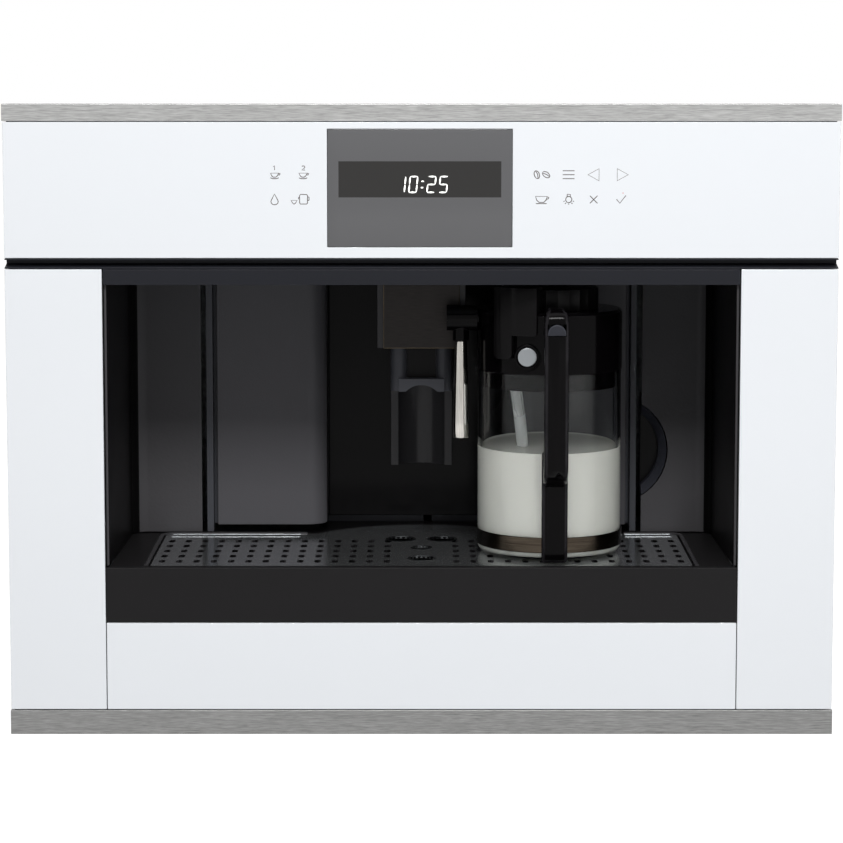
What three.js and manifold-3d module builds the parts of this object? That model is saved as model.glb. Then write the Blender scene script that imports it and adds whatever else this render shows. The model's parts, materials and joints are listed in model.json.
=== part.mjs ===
// A built-in, fully automatic coffee machine for a 560 x 450 mm cabinet niche, in millimetres, +Z up.
// The group's origin is the bottom centre of the whole object. Inside it, Y is the depth behind the
// face of the front glass: 0 is the glass, positive runs into the cabinet.
import * as THREE from 'three';
import { mergeVertices } from 'three/addons/utils/BufferGeometryUtils.js';
import Module from 'manifold-3d';

const wasm = await Module();
wasm.setup();

// ---------------------------------------------------------------- driving dimensions
// Fits
const seat = 0.3; // between two pieces that rest on each other
const running = 0.5; // between two pieces that slide or turn on each other
const seam = 0.6; // visible joint between neighbouring front panels
const overcut = 5; // how far a cutting tool runs past the wall it cuts

// Front
const frontWidth = 595;
const frontHeight = 455;
const frontDepth = 20; // front frame, from the glass to the cabinet's edge
const sidePanelWidth = 70;
const topStripHeight = 12.2;
const bottomStripHeight = 17.8;
const controlHeight = 96.6;
const grooveHeight = 7.4;
const grooveDepth = 14;
const grooveLip = 1.1;
const barHeight = 11.2;
const bandHeight = 39.8;
const lowerGlassHeight = 63.4;
const glassThickness = 4;
const stripWall = 2;
const barSetback = 0.8; // the dark bar lies this far behind the glass face
const bandSetback = 0.5; // the drip tray's front lies this far behind the glass face
const displayWidth = 131;
const displayHeight = 83.4;
const displayCentre = -1.2; // the display field lies slightly left of the middle
const displayBelowTop = 5.2;
const carrierWall = 3;
const boardWidth = 220;
const boardHeight = 70;
const boardThickness = 1.6;
const boardPartsHeight = 6;

// Housing behind the front
const machineDepth = 385; // glass face to rear cover
const housingInset = 31.5; // housing side to the front's edge
const housingBottom = 12;
const housingHeadroom = 14; // housing top below the front's top edge
const sheet = 1.2;
const baseThickness = 3;
const deckTop = 62.3;
const deckThickness = 2;
const supportThickness = 3;
const supportMargin = 12.5; // outer supports to the housing's inner wall
const supportEndGap = 48.2; // the supports end this far before the rear cover
const shelfRise = 0.6; // plate over the cavity, above the dark bar's lower edge
const shelfThickness = 2.5;

// Telescopic rails
const railCentreZ = 210;
const railEndGap = 17; // the rails end this far before the rear face
const railStart = 28;
const railBarHeight = 20;
const railBarThickness = 5;
const railWall = 2;
const railFit = 0.4;

// Cavity
const cavityDepth = 150;
const linerWall = 2.2;
const linerDraft = 2.5; // each side wall leans in by this much towards the back
const linerCornerRadius = 12;
const linerInset = 0.6; // liner to the front frame's opening
const doorwayInset = 58.5; // doorway's edge to the front opening's edge
const sillHeight = 10;
const sillGap = 1.7; // sill to the first pieces behind it
const sillLegWidth = 20;

// Finger recess beside the door
const recessRadius = 41;
const recessWidth = 20.5;
const recessPocket = 14;
const recessLift = 64.4; // recess centre above the cavity floor
const recessWall = 2.5;

// Service door
const doorFit = 3.7; // door's edge to its doorway
const doorThickness = 8;
const doorLift = 6.2; // door panel above the cavity floor
const doorTopGap = 0.6; // the door swings out under the dark bar
const doorRecessHalf = 72.6;
const doorRecessDepth = 45;
const doorRecessRadius = 16;
const doorSkin = 3;
const trimWidth = 5;
const trimGroove = 3;
const trimDepth = 8;
const wingGap = 11.7; // trim's wing to the shoulder of the door's recess
const trimWingThickness = 3;
const hingePinRadius = 1.5;
const hingePinLength = 10;
const hingePinFit = 0.05;

// Coffee spout
const plateHalf = 28.3;
const plateFace = 84;
const plateThickness = 2;
const plateDrop = 53.5; // spout housing's lower edge below the door's top
const housingHalf = 33;
const housingWall = 3;
const slideDepth = 26; // shaft that the spout block runs in
const spoutTubeRadius = 6.3;
const spoutTubeSpacing = 34;
const spoutReach = 33.4; // outlets below the spout housing
const spoutBoreDepth = 14;
const spoutRoot = 10; // the slim part of the block reaches this far into its shaft
const spoutBridgeHeight = 9.6;
const spoutBridgeArch = 5;
const columnHalf = 24;
const columnDepth = 18;
const columnLength = 101.3;
const columnGroove = 19;

// Drip tray
const trayFit = 2.5; // tray's side to the front opening's edge
const trayHeight = 36.2;
const trayWall = 2.5;
const trayFloor = 3;
const trayBackGap = 2.2;
const bulgeHalf = 82;
const bulgeDepth = 42.5; // the tray swells back into the door's recess
const gridMargin = 29; // grid's side to the tray's side
const gridThickness = 1.6;
const gridRim = 3.6; // grid edge to the tray's edge, front and back
const gridFit = 2; // grid edge to the wall of its recess
const slotWidth = 4.6;
const slotLength = 11;
const slotPitchX = 12.6;
const slotPitchY = 21.3;
const slotEdgeGap = 5; // least distance from a slot's middle to the grid's side
const slotRows = 5;
const slotFirstColumn = 25.4;
const slotFirstRow = 26.7;
const ringSpacing = 31.5;
const ringBack = 122;
const ringFront = 39;
const ringRadius = 9;
const ringBackRadius = 10;
const ringMiddle = 84;
const ringMiddleRadius = 6.5;
const runnerWidth = 12;
const runnerInset = 20; // runner's middle to the tray's side

// Milk jug
const jugX = 94.6;
const jugY = 71;
const jugRadius = 53;
const jugWall = 2.5;
const jugCorner = 7;
const jugFloor = 3.4;
const jugLift = 0.4; // jug to the tray beneath it
const steelBandLift = 7; // above the jug's base
const steelBandHeight = 11.4;
const steelBandWall = 0.8;
const lidRadius = 53.6;
const lidHeadroom = 22.4; // lid below the dark bar's lower edge
const lidHeight = 44.6;
const lidSkirtDepth = 12.5;
const lidSkirtWall = 5.5;
const lidRoof = 5;
const handleWidth = 19.5;
const handleOffset = 1.5;
const handleReach = 12; // grip stands this far in front of the glass
const gripThickness = 10;
const gripLift = 73.4; // wide grip above the jug's base
const gripRise = 5; // grip above the lid
const gripSlope = 18; // height over which the stem widens to the grip
const gripArm = 22;
const gripCrown = 9; // radius at the top of the grip's front
const stemThickness = 8.5;
const keyWidth = 13;
const keyHeight = 8;
const keyDrop = 18; // key's lower edge below the grip's top
const keyLength = 6;
const keyProud = 0; // the key lies flush in the grip
const keyTravel = 2;
const intakeRadius = 2.6;
const intakeOffset = 25;
const intakeLift = 9.4; // above the jug's base
const selectorHeight = 15.2;
const selectorRadius = 36;
const selectorRibs = 26;
const selectorRibDepth = 1.4;
const leverThickness = 3.6;
const leverRise = 18.5; // above the lid's top
const leverDrop = 16; // below the lid's top
const tongueDrop = 33.4; // below the lid's top
const leverStart = 47; // degrees left of the lid's front
const leverEnd = 12;
const leverTongueEnd = 31;
const buttonX = -18.4; // from the jug's axis
const buttonDrop = 31.4; // below the lid's top
const buttonRadius = 6.9;
const buttonLength = 11;
const buttonProud = 2.6;
const buttonTravel = 3;
const buttonRing = 3.6;
const armDrop = 7; // below the lid's top
const armY = -5; // from the jug's axis
const armRadius = 9.5;
const armSpigotRadius = 5;
const armSpigotLength = 8;
const milkTubeX = 29;
const milkTubeDrop = 17; // tube's top below the elbow's axis
const milkTubeLength = 72;
const milkTubeTopRadius = 4.4;
const milkTubeBottomRadius = 6.5;
const milkCollarRadius = 6;
const milkBore = 2.4;
const couplerRadius = 9;
const couplerNozzleRadius = 5;
const couplerNozzleLength = 7;

// Inside
const swingRoom = 11; // first pieces behind the door's recess, which swings past them
const tankGap = 6; // tank to the grounds container
const tankWidth = 84;
const tankEndGap = 11.5; // tank to the rear cover
const tankHeadroom = 36.4; // tank to the plate above
const tankWall = 2.5;
const tankMouth = 56;
const binGap = 6; // grounds container to the brew group
const binWidth = 76;
const binDepth = 124;
const binHeight = 68;
const binWall = 2.5;
const brewGap = 24; // brew group to the coffee boiler
const brewSetback = 56; // chamber axis behind the first pieces
const brewWidth = 64;
const brewDepth = 108;
const brewHeadroom = 65; // brew group to the plate above
const chamberRadius = 22;
const chamberDepth = 112;
const pistonHead = 14;
const pistonRest = 30; // piston's head above the chamber's floor
const pistonRodRadius = 6;
const nutRadius = 22;
const nutHeight = 18;
const nutLift = 30.4; // above the brew group's base
const nutFlats = 12;
const grinderRadius = 40;
const grinderHeight = 60;
const burrBore = 21;
const burrDepth = 30;
const chuteRadius = 9;
const burrTopRadius = 13;
const burrHeight = 26;
const burrShaftRadius = 5;
const burrShaftLength = 16;
const motorRadius = 28;
const motorHeight = 56;
const hopperWidth = 180;
const hopperDepth = 130;
const hopperWall = 2.5;
const hopperMouthRadius = 18;
const hopperLidThickness = 3;
const hopperLidLap = 5;
const lidBarrelRadius = 2.6;
const lidPinRadius = 1.2;
const lidEar = 4;
const knobSpacing = 135; // from the grinder's axis
const knobRadius = 13;
const knobHeight = 8.5;
const knobSpindleRadius = 3;
const knobSpindleLength = 11;
const knobRibs = 16;
const boilerGap = 14;
const coffeeBoilerRadius = 34;
const coffeeBoilerHeight = 108;
const boilerSideGap = 22.5; // steam boiler to the housing's inner wall
const steamBoilerRadius = 32;
const steamBoilerHeight = 128;
const boilerCap = 8;
const hoseRadius = 3;
const hoseTopGap = 2.6; // the hose enters midway between the boiler and this far below the brew group's top
const pumpSpacing = 88; // from the brew group's axis
const pumpY = 200;
const pumpLength = 110;
const pumpBlockWidth = 44;
const pumpBlockHeight = 42;
const pumpCoilRadius = 19;
const powerBoardGap = 31.5; // board to the housing's inner wall
const powerBoardY = 120;
const powerBoardWidth = 130;
const powerBoardLength = 180;
const powerBoardRaster = 2; // the board's parts stand on this raster
const inletGap = 34.8; // inlet to the housing's inner wall
const inletZ = 38;
const inletWidth = 29.4;
const inletHeight = 27.4;
const inletLength = 34;
const inletSocketWidth = 20;
const inletSocketHeight = 15;
const inletSocketDepth = 16;

// ---------------------------------------------------------------- sizes that follow
const halfWidth = frontWidth / 2;
const openingHalf = halfWidth - sidePanelWidth;
const glassHalf = halfWidth - seam;
const lowerGlassBottom = bottomStripHeight + seam;
const lowerGlassTop = lowerGlassBottom + lowerGlassHeight;
const bandBottom = lowerGlassTop + seam;
const bandTop = bandBottom + bandHeight;
const topStripBottom = frontHeight - topStripHeight;
const controlTop = topStripBottom - seam;
const controlBottom = controlTop - controlHeight;
const grooveTop = controlBottom - seat;
const grooveBottom = grooveTop - grooveHeight;
const barTop = grooveBottom - seat;
const barBottom = barTop - barHeight;
const carrierFront = glassThickness + seat;
const carrierBack = frontDepth;
const carrierPlateBack = carrierFront + carrierWall;
const carrierHalf = halfWidth - stripWall - 2 * seat;
const carrierBottom = stripWall + seat;
const carrierTop = frontHeight - stripWall - seat;
const ringHalf = openingHalf + seat;
const housingFront = frontDepth + seat;
const housingHalfWidth = halfWidth - housingInset;
const housingTop = frontHeight - housingHeadroom;
const railLength = machineDepth - railEndGap - railStart;
const insideHalf = housingHalfWidth - sheet - seat;
const supportSpacing = ((insideHalf - supportMargin) * 2) / 3;
const steamBoilerX = insideHalf - boilerSideGap - steamBoilerRadius;
const coffeeBoilerX = steamBoilerX - steamBoilerRadius - boilerGap - coffeeBoilerRadius;
const brewX = coffeeBoilerX - coffeeBoilerRadius - brewGap - brewWidth / 2;
const binLeft = brewX - brewWidth / 2 - binGap - binWidth;
const tankLeft = binLeft - tankGap - tankWidth;
const knobX = brewX + knobSpacing;
const pumpX = brewX + pumpSpacing;
const powerBoardX = -(insideHalf - powerBoardGap - powerBoardWidth / 2);
const inletX = -(insideHalf - inletGap - inletWidth / 2);
const insideBack = machineDepth - sheet - seat;
const baseTop = housingBottom + baseThickness;
const shelfBottom = barBottom + shelfRise;
const shelfTop = shelfBottom + shelfThickness;
const doorwayHalf = openingHalf - doorwayInset;
const recessCentreZ = bandTop + recessLift;
const linerFront = carrierFront + seat;
const linerOuter = openingHalf - linerInset + seat;
const linerInner = linerOuter - linerWall;
const linerBottom = bandTop + running;
const linerTop = shelfBottom - seat;
const trayHalf = openingHalf - trayFit;
const trayBottom = bandTop - trayHeight;
const gridHalf = trayHalf - gridMargin;
const slotColumns = Math.floor((gridHalf - slotEdgeGap - slotFirstColumn) / slotPitchX) + 1;
const runnerCentre = trayHalf - runnerInset;
const trayBack = cavityDepth - trayBackGap;
const bulgeRadius = (bulgeHalf ** 2 + bulgeDepth ** 2) / (2 * bulgeDepth);
const bulgeCentre = trayBack + bulgeDepth - bulgeRadius;
const trayFront = bandSetback + glassThickness - seat;
const doorPanelHalf = doorwayHalf - doorFit - trimWidth - trimGroove;
const doorBottom = bandTop + doorLift;
const doorTop = barBottom - doorTopGap;
const jugBase = bandTop + jugLift;
const lidTop = barBottom - lidHeadroom;
const jugTop = lidTop - lidHeight;
const steelBandBottom = jugBase + steelBandLift;
const gripBottom = jugBase + gripLift;
const gripTop = lidTop + gripRise;
const keyBottom = gripTop - keyDrop;
const intakeBottom = jugBase + intakeLift;
const selectorTop = lidTop + seat + selectorHeight;
const leverTop = lidTop + leverRise;
const leverBottom = lidTop - leverDrop;
const leverTongueBottom = lidTop - tongueDrop;
const buttonZ = lidTop - buttonDrop;
const armZ = lidTop - armDrop;
const milkTubeTop = armZ - milkTubeDrop;
const plateBottom = doorTop - plateDrop;
const spoutTubeBottom = plateBottom - spoutReach;
const columnBottom = plateBottom - columnLength;
const trimInner = doorPanelHalf + trimGroove;
const trimOuter = trimInner + trimWidth;
const trimFront = cavityDepth - 1;
const hingeX = -(trimInner + trimWidth / 2);
const hingeY = trimFront + trimDepth / 2;
const recessBack = cavityDepth + doorRecessDepth;
const insideFront = recessBack + swingRoom;
const insideFloor = deckTop + seat;
const brewY = insideFront + brewSetback;
const brewTop = shelfBottom - brewHeadroom;
const housingRootY = recessBack - seat;
const shaftFront = plateFace + plateThickness + seat + housingWall;
const shaftBack = shaftFront + slideDepth;
const housingTopZ = doorTop;
const spoutY = shaftFront + slideDepth / 2;
const objectFront = -handleReach;
const depthCentre = (objectFront + machineDepth) / 2;

// ---------------------------------------------------------------- finishes, as photographed
const finishes = {
  whiteGlass: { color: 0xe6e9ec, roughness: 0.12, metalness: 0 },
  brushedSteel: { color: 0xa9a9a8, roughness: 0.35, metalness: 1 },
  polishedSteel: { color: 0xb8b9bb, roughness: 0.15, metalness: 1 },
  chrome: { color: 0xd8d8d6, roughness: 0.06, metalness: 1 },
  zincSheet: { color: 0x9aa0a3, roughness: 0.5, metalness: 0.9 },
  blackGloss: { color: 0x141314, roughness: 0.12, metalness: 0 },
  blackMatt: { color: 0x232224, roughness: 0.55, metalness: 0 },
  slateMatt: { color: 0x303036, roughness: 0.6, metalness: 0 },
  greyPrint: { color: 0x6f6f70, roughness: 0.25, metalness: 0 },
  jugGlass: { color: 0xdfe8ec, roughness: 0.03, metalness: 0 },
  clearPlastic: { color: 0xc9cfd0, roughness: 0.2, metalness: 0 },
  silverButton: { color: 0xd6d8d8, roughness: 0.3, metalness: 0.3 },
  boardGreen: { color: 0x2f5a3c, roughness: 0.6, metalness: 0 },
  brass: { color: 0xb59a5b, roughness: 0.35, metalness: 1 },
  silicone: { color: 0xd9d3c8, roughness: 0.7, metalness: 0 },
  greyPlastic: { color: 0x54565a, roughness: 0.5, metalness: 0 },
};

// ---------------------------------------------------------------- shape tools
// A closed solid from a three.js geometry, with its faces turned outwards.
function solid(geometry) {
  const bare = geometry.clone();
  bare.deleteAttribute('normal');
  bare.deleteAttribute('uv');
  const merged = mergeVertices(bare, 1e-4);
  const at = merged.attributes.position;
  const corner = (i) => new THREE.Vector3().fromBufferAttribute(at, i);
  const faces = [];
  let volume = 0;
  for (let i = 0; i < merged.index.count; i += 3) {
    const face = [0, 1, 2].map((k) => merged.index.getX(i + k));
    if (new Set(face).size < 3) continue;
    volume += corner(face[0]).dot(corner(face[1]).cross(corner(face[2])));
    faces.push(face);
  }
  const turned = volume < 0 ? faces.map(([a, b, c]) => [a, c, b]) : faces;
  const mesh = new wasm.Mesh({
    numProp: 3,
    vertProperties: new Float32Array(at.array),
    triVerts: new Uint32Array(turned.flat()),
  });
  return new wasm.Manifold(mesh);
}

function box(x0, x1, y0, y1, z0, z1) {
  const geometry = new THREE.BoxGeometry(x1 - x0, y1 - y0, z1 - z0);
  return solid(geometry.translate((x0 + x1) / 2, (y0 + y1) / 2, (z0 + z1) / 2));
}

// An outline of [a, b] points run along an axis: (y, z) along x, (x, z) along y, (x, y) along z.
function prism(axis, points, from, to) {
  const outline = new THREE.Shape(points.map(([a, b]) => new THREE.Vector2(a, b)));
  const geometry = new THREE.ExtrudeGeometry(outline, { depth: to - from, bevelEnabled: false });
  const turns = {
    x: new THREE.Matrix4().makeBasis(
      new THREE.Vector3(0, 1, 0), new THREE.Vector3(0, 0, 1), new THREE.Vector3(1, 0, 0)),
    y: new THREE.Matrix4().makeBasis(
      new THREE.Vector3(1, 0, 0), new THREE.Vector3(0, 0, 1), new THREE.Vector3(0, -1, 0)),
    z: new THREE.Matrix4(),
  };
  geometry.applyMatrix4(turns[axis]);
  const start = { x: [from, 0, 0], y: [0, to, 0], z: [0, 0, from] }[axis];
  return solid(geometry.translate(...start));
}

// Points of an arc round [a, b], both ends included, angles in degrees.
function arc(a, b, radius, start, end, steps) {
  return Array.from({ length: steps + 1 }, (_, i) => {
    const angle = THREE.MathUtils.degToRad(start + ((end - start) * i) / steps);
    return [a + radius * Math.cos(angle), b + radius * Math.sin(angle)];
  });
}

function circle(a, b, radius, sides) {
  return arc(a, b, radius, 0, 360, sides).slice(0, sides);
}

function rod(axis, a, b, radius, from, to, sides = 20) {
  return prism(axis, circle(a, b, radius, sides), from, to);
}

// A turned solid about the vertical line through (x, y); the profile is [radius, z] points.
function turned(x, y, profile, sides = 32) {
  const closed = [...profile, profile[0]].map(([r, z]) => new THREE.Vector2(r, z));
  const geometry = new THREE.LatheGeometry(closed, sides);
  return solid(geometry.rotateX(Math.PI / 2).translate(x, y, 0));
}

const join = (first, ...others) => others.reduce((whole, piece) => whole.add(piece), first);
const cut = (first, ...tools) => tools.reduce((whole, tool) => whole.subtract(tool), first);
const mirrored = (make) => join(make(-1), make(1));

// Two x values in rising order, on the left for side -1 and on the right for side 1.
const sideRange = (side, near, far) => (side < 0 ? [-far, -near] : [near, far]);

function part(group, name, shape, finish) {
  const { vertProperties, triVerts } = shape.getMesh();
  const geometry = new THREE.BufferGeometry();
  geometry.setAttribute('position', new THREE.BufferAttribute(new Float32Array(vertProperties), 3));
  geometry.setIndex(new THREE.BufferAttribute(new Uint32Array(triVerts), 1));
  geometry.computeVertexNormals();
  const mesh = new THREE.Mesh(geometry, new THREE.MeshStandardMaterial(finishes[finish]));
  mesh.name = name;
  group.add(mesh);
  return mesh;
}

// ---------------------------------------------------------------- cabinet rails
const barFace = housingHalfWidth + railBarThickness;
const midWebFace = barFace + railFit + railWall;
const outerFace = midWebFace + railFit + railWall;

// A C-shaped channel open towards the machine, on one side of it.
function channel(side, inner, outer, halfHeight) {
  const [x0, x1] = sideRange(side, inner, outer);
  const [w0, w1] = sideRange(side, outer - railWall, outer);
  const flange = (z0, z1) => box(x0, x1, railStart, railStart + railLength, z0, z1);
  return join(
    box(w0, w1, railStart, railStart + railLength, railCentreZ - halfHeight, railCentreZ + halfHeight),
    flange(railCentreZ + halfHeight - railWall, railCentreZ + halfHeight),
    flange(railCentreZ - halfHeight, railCentreZ - halfHeight + railWall));
}

function rails(fixed, middle) {
  const midHalf = railBarHeight / 2 + railFit + railWall;
  const outerHalf = midHalf + railFit + railWall;
  const flangeStart = housingHalfWidth + 2 * seat;
  for (const [side, hand] of [[-1, 'left'], [1, 'right']]) {
    part(fixed, `rail_outer_${hand}`, channel(side, flangeStart, outerFace, outerHalf), 'zincSheet');
    part(middle, `rail_mid_${hand}`, channel(side, flangeStart, midWebFace, midHalf), 'zincSheet');
  }
}

// ---------------------------------------------------------------- front panels
function frontPanels(group) {
  const displayTop = controlTop - displayBelowTop;
  const displayLeft = displayCentre - displayWidth / 2;
  const displayRight = displayCentre + displayWidth / 2;
  const displayBottom = displayTop - displayHeight;
  part(group, 'control_glass', cut(
    box(-glassHalf, glassHalf, 0, glassThickness, controlBottom, controlTop),
    box(displayLeft - seat, displayRight + seat, -overcut, glassThickness + overcut,
      displayBottom - seat, displayTop + seat)), 'whiteGlass');
  part(group, 'display_panel', box(displayLeft, displayRight, 0, glassThickness,
    displayBottom, displayTop), 'greyPrint');
  for (const [side, name] of [[-1, 'side_glass_left'], [1, 'side_glass_right']]) {
    const [x0, x1] = sideRange(side, openingHalf + seat, glassHalf);
    part(group, name, box(x0, x1, 0, glassThickness, lowerGlassBottom, barTop), 'whiteGlass');
  }
  part(group, 'lower_glass', box(-(openingHalf - seat), openingHalf - seat, 0, glassThickness,
    lowerGlassBottom, lowerGlassTop), 'whiteGlass');
  const stripBack = carrierBack - seat;
  part(group, 'trim_strip_top', prism('x', [
    [0, topStripBottom], [glassThickness, topStripBottom], [glassThickness, frontHeight - stripWall],
    [stripBack, frontHeight - stripWall], [stripBack, frontHeight], [0, frontHeight],
  ], -halfWidth, halfWidth), 'brushedSteel');
  part(group, 'trim_strip_bottom', prism('x', [
    [0, 0], [stripBack, 0], [stripBack, stripWall], [glassThickness, stripWall],
    [glassThickness, bottomStripHeight], [0, bottomStripHeight],
  ], -halfWidth, halfWidth), 'brushedSteel');
  part(group, 'groove_profile', prism('x', [
    [seam, grooveBottom], [grooveDepth, grooveBottom], [grooveDepth, grooveTop], [seam, grooveTop],
    [seam, grooveTop - grooveLip], [grooveDepth - carrierWall, grooveTop - grooveLip],
    [grooveDepth - carrierWall, grooveBottom + 3 * grooveLip], [seam + grooveLip, grooveBottom + grooveLip],
    [seam, grooveBottom + grooveLip],
  ], -glassHalf, glassHalf), 'blackMatt');
  part(group, 'cavity_bar', prism('x', [
    [barSetback, barBottom], [carrierFront, barBottom], [carrierFront, barTop - carrierWall],
    [grooveDepth, barTop - carrierWall], [grooveDepth, barTop], [barSetback, barTop],
  ], -(openingHalf - seam), openingHalf - seam), 'slateMatt');
}

// The moulded frame behind the glass: plates, an outer rim, a rim round the opening and ribs that
// back the grip groove.
function carrier(group) {
  const ribTop = grooveTop + seam + carrierWall;
  const ribBottom = barTop - carrierWall;
  const backing = grooveDepth + seat;
  const plates = join(
    box(-carrierHalf, carrierHalf, carrierFront, carrierPlateBack, controlBottom, carrierTop),
    box(-carrierHalf, carrierHalf, carrierFront, carrierPlateBack, carrierBottom, lowerGlassTop),
    mirrored((s) => box(...sideRange(s, ringHalf, carrierHalf), carrierFront, carrierPlateBack,
      carrierBottom, barTop)));
  const outerRim = cut(
    box(-carrierHalf, carrierHalf, carrierFront, carrierBack, carrierBottom, carrierTop),
    box(-carrierHalf + carrierWall, carrierHalf - carrierWall, -overcut, carrierBack + overcut,
      carrierBottom + carrierWall, carrierTop - carrierWall));
  const openingRim = join(
    mirrored((s) => box(...sideRange(s, ringHalf, ringHalf + carrierWall), carrierFront, carrierBack,
      lowerGlassTop - carrierWall, barTop)),
    box(-ringHalf - carrierWall, ringHalf + carrierWall, carrierFront, carrierBack,
      lowerGlassTop - carrierWall, lowerGlassTop));
  const backingPlate = box(-carrierHalf, carrierHalf, backing, backing + carrierWall, ribBottom, ribTop);
  const ribs = join(
    box(-carrierHalf, carrierHalf, carrierFront, backing + carrierWall, controlBottom, ribTop),
    mirrored((s) => box(...sideRange(s, ringHalf, carrierHalf), carrierFront, backing + carrierWall,
      ribBottom, barTop)));
  const whole = join(plates, outerRim, openingRim, backingPlate, ribs);
  part(group, 'fascia_carrier', cut(whole,
    box(-halfWidth, halfWidth, -overcut, backing, grooveBottom - seat, grooveTop + seat)), 'blackMatt');
}

function controlBoard(group) {
  const centreZ = (controlTop + controlBottom) / 2;
  const front = carrierPlateBack + seat;
  const back = front + boardThickness;
  const plate = box(-boardWidth / 2, boardWidth / 2, front, back, centreZ - boardHeight / 2,
    centreZ + boardHeight / 2);
  const parts = [[-90, -50], [-30, 40], [60, 95]].map(([x0, x1]) =>
    box(x0, x1, back - seat, back + boardPartsHeight, centreZ - boardHeight / 3, centreZ + boardHeight / 4));
  part(group, 'control_board', join(plate, ...parts), 'boardGreen');
}

// ---------------------------------------------------------------- housing
function housing(group) {
  part(group, 'housing_shell', join(
    box(-housingHalfWidth, housingHalfWidth, housingFront, machineDepth, housingBottom, baseTop),
    mirrored((s) => box(...sideRange(s, housingHalfWidth - sheet, housingHalfWidth), housingFront,
      machineDepth, housingBottom, housingTop - sheet - seat)),
    mirrored((s) => box(...sideRange(s, housingHalfWidth - sheet / 2, barFace), railStart,
      railStart + railLength, railCentreZ - railBarHeight / 2, railCentreZ + railBarHeight / 2))),
  'zincSheet');
  const inlet = box(inletX - inletWidth / 2 - seat, inletX + inletWidth / 2 + seat, insideBack - overcut,
    machineDepth + overcut, inletZ - inletHeight / 2 - seat, inletZ + inletHeight / 2 + seat);
  part(group, 'housing_rear', cut(box(-insideHalf, insideHalf, machineDepth - sheet, machineDepth,
    baseTop + seat, housingTop - sheet - seat), inlet), 'zincSheet');
  const supports = [-1.5, -0.5, 0.5, 1.5].map((step) => box(
    step * supportSpacing - supportThickness / 2, step * supportSpacing + supportThickness / 2,
    housingFront + overcut, insideBack - supportEndGap, baseTop + seat,
    deckTop - deckThickness / 2));
  const deck = box(-insideHalf, insideHalf, housingFront, insideBack, deckTop - deckThickness, deckTop);
  const runners = mirrored((s) => box(...sideRange(s, runnerCentre - runnerWidth / 2,
    runnerCentre + runnerWidth / 2), housingFront, trayBack, deckTop - deckThickness / 2,
    trayBottom - running));
  part(group, 'chassis_deck', join(deck, runners, ...supports), 'zincSheet');
  const upperPin = rod('z', hingeX, hingeY, hingePinRadius, doorTop - hingePinLength, shelfBottom + 1, 24);
  part(group, 'cavity_ceiling', join(cut(
    box(-insideHalf, insideHalf, housingFront, insideBack, shelfBottom, shelfTop),
    rod('z', brewX, brewY, chuteRadius + 1, shelfBottom - overcut, shelfTop + overcut)), upperPin),
  'zincSheet');
}

const hopperLeft = brewX - hopperWidth / 2;
const hopperRight = brewX + hopperWidth / 2;
const hopperFront = brewY - hopperDepth / 2;
const hopperBack = brewY + hopperDepth / 2;
const hopperBottom = shelfTop + grinderHeight + 2 * seat;
const lidHingeY = hopperBack + hopperLidLap + lidBarrelRadius + running;
const lidHingeZ = housingTop + seat + lidBarrelRadius;
const lidLeft = hopperLeft - hopperLidLap;
const lidRight = hopperRight + hopperLidLap;

function housingTopPlate(group) {
  const plate = box(-housingHalfWidth, housingHalfWidth, housingFront, machineDepth, housingTop - sheet,
    housingTop);
  const mouth = box(hopperLeft + hopperWall, hopperRight - hopperWall, hopperFront + hopperWall,
    hopperBack - hopperWall, housingTop - overcut, housingTop + overcut);
  const spindle = rod('z', knobX, brewY, knobSpindleRadius + running, housingTop - overcut,
    housingTop + overcut);
  const earSize = lidBarrelRadius + 1;
  const ear = (x0, x1) => box(x0, x1, lidHingeY - earSize, lidHingeY + earSize, housingTop - sheet / 2,
    lidHingeZ + earSize);
  const pin = (x0, x1) => rod('x', lidHingeY, lidHingeZ, lidPinRadius, x0, x1, 16);
  part(group, 'housing_top', join(cut(plate, mouth, spindle),
    ear(lidLeft - running - lidEar, lidLeft - running),
    pin(lidLeft - lidEar, lidLeft + 2 * lidEar),
    ear(lidRight + running, lidRight + running + lidEar),
    pin(lidRight - 2 * lidEar, lidRight + lidEar)), 'zincSheet');
}

// ---------------------------------------------------------------- cavity
// The side wall and back wall of one side, seen from above, as an outline with a rounded corner.
function linerOutline(side, inset) {
  const front = linerInner + inset;
  const back = linerInner - linerDraft + inset;
  const wallY = cavityDepth + inset;
  const radius = linerCornerRadius + inset;
  const corner = arc(back - radius, wallY - radius, radius, 0, 90, 5);
  return [[front, linerFront], ...corner, [doorwayHalf, wallY]].map(([x, y]) => [side * x, y]);
}

function liner(side) {
  const inner = linerOutline(side, 0);
  const outer = linerOutline(side, linerWall).reverse();
  return prism('z', [...inner, ...outer], linerBottom, linerTop);
}

function cavity(group) {
  part(group, 'liner_left', liner(-1), 'blackGloss');
  const chordX = doorwayHalf;
  const centreX = chordX + recessWidth - recessRadius;
  const cup = box(chordX, chordX + recessWidth + recessWall * 2, cavityDepth + linerWall / 2,
    cavityDepth + recessPocket + recessWall, recessCentreZ - recessRadius - recessWall,
    recessCentreZ + recessRadius + recessWall);
  const pocket = rod('y', centreX, recessCentreZ, recessRadius, cavityDepth - overcut,
    cavityDepth + recessPocket, 40);
  part(group, 'liner_right', cut(join(liner(1), cup), pocket), 'blackGloss');
}

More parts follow.
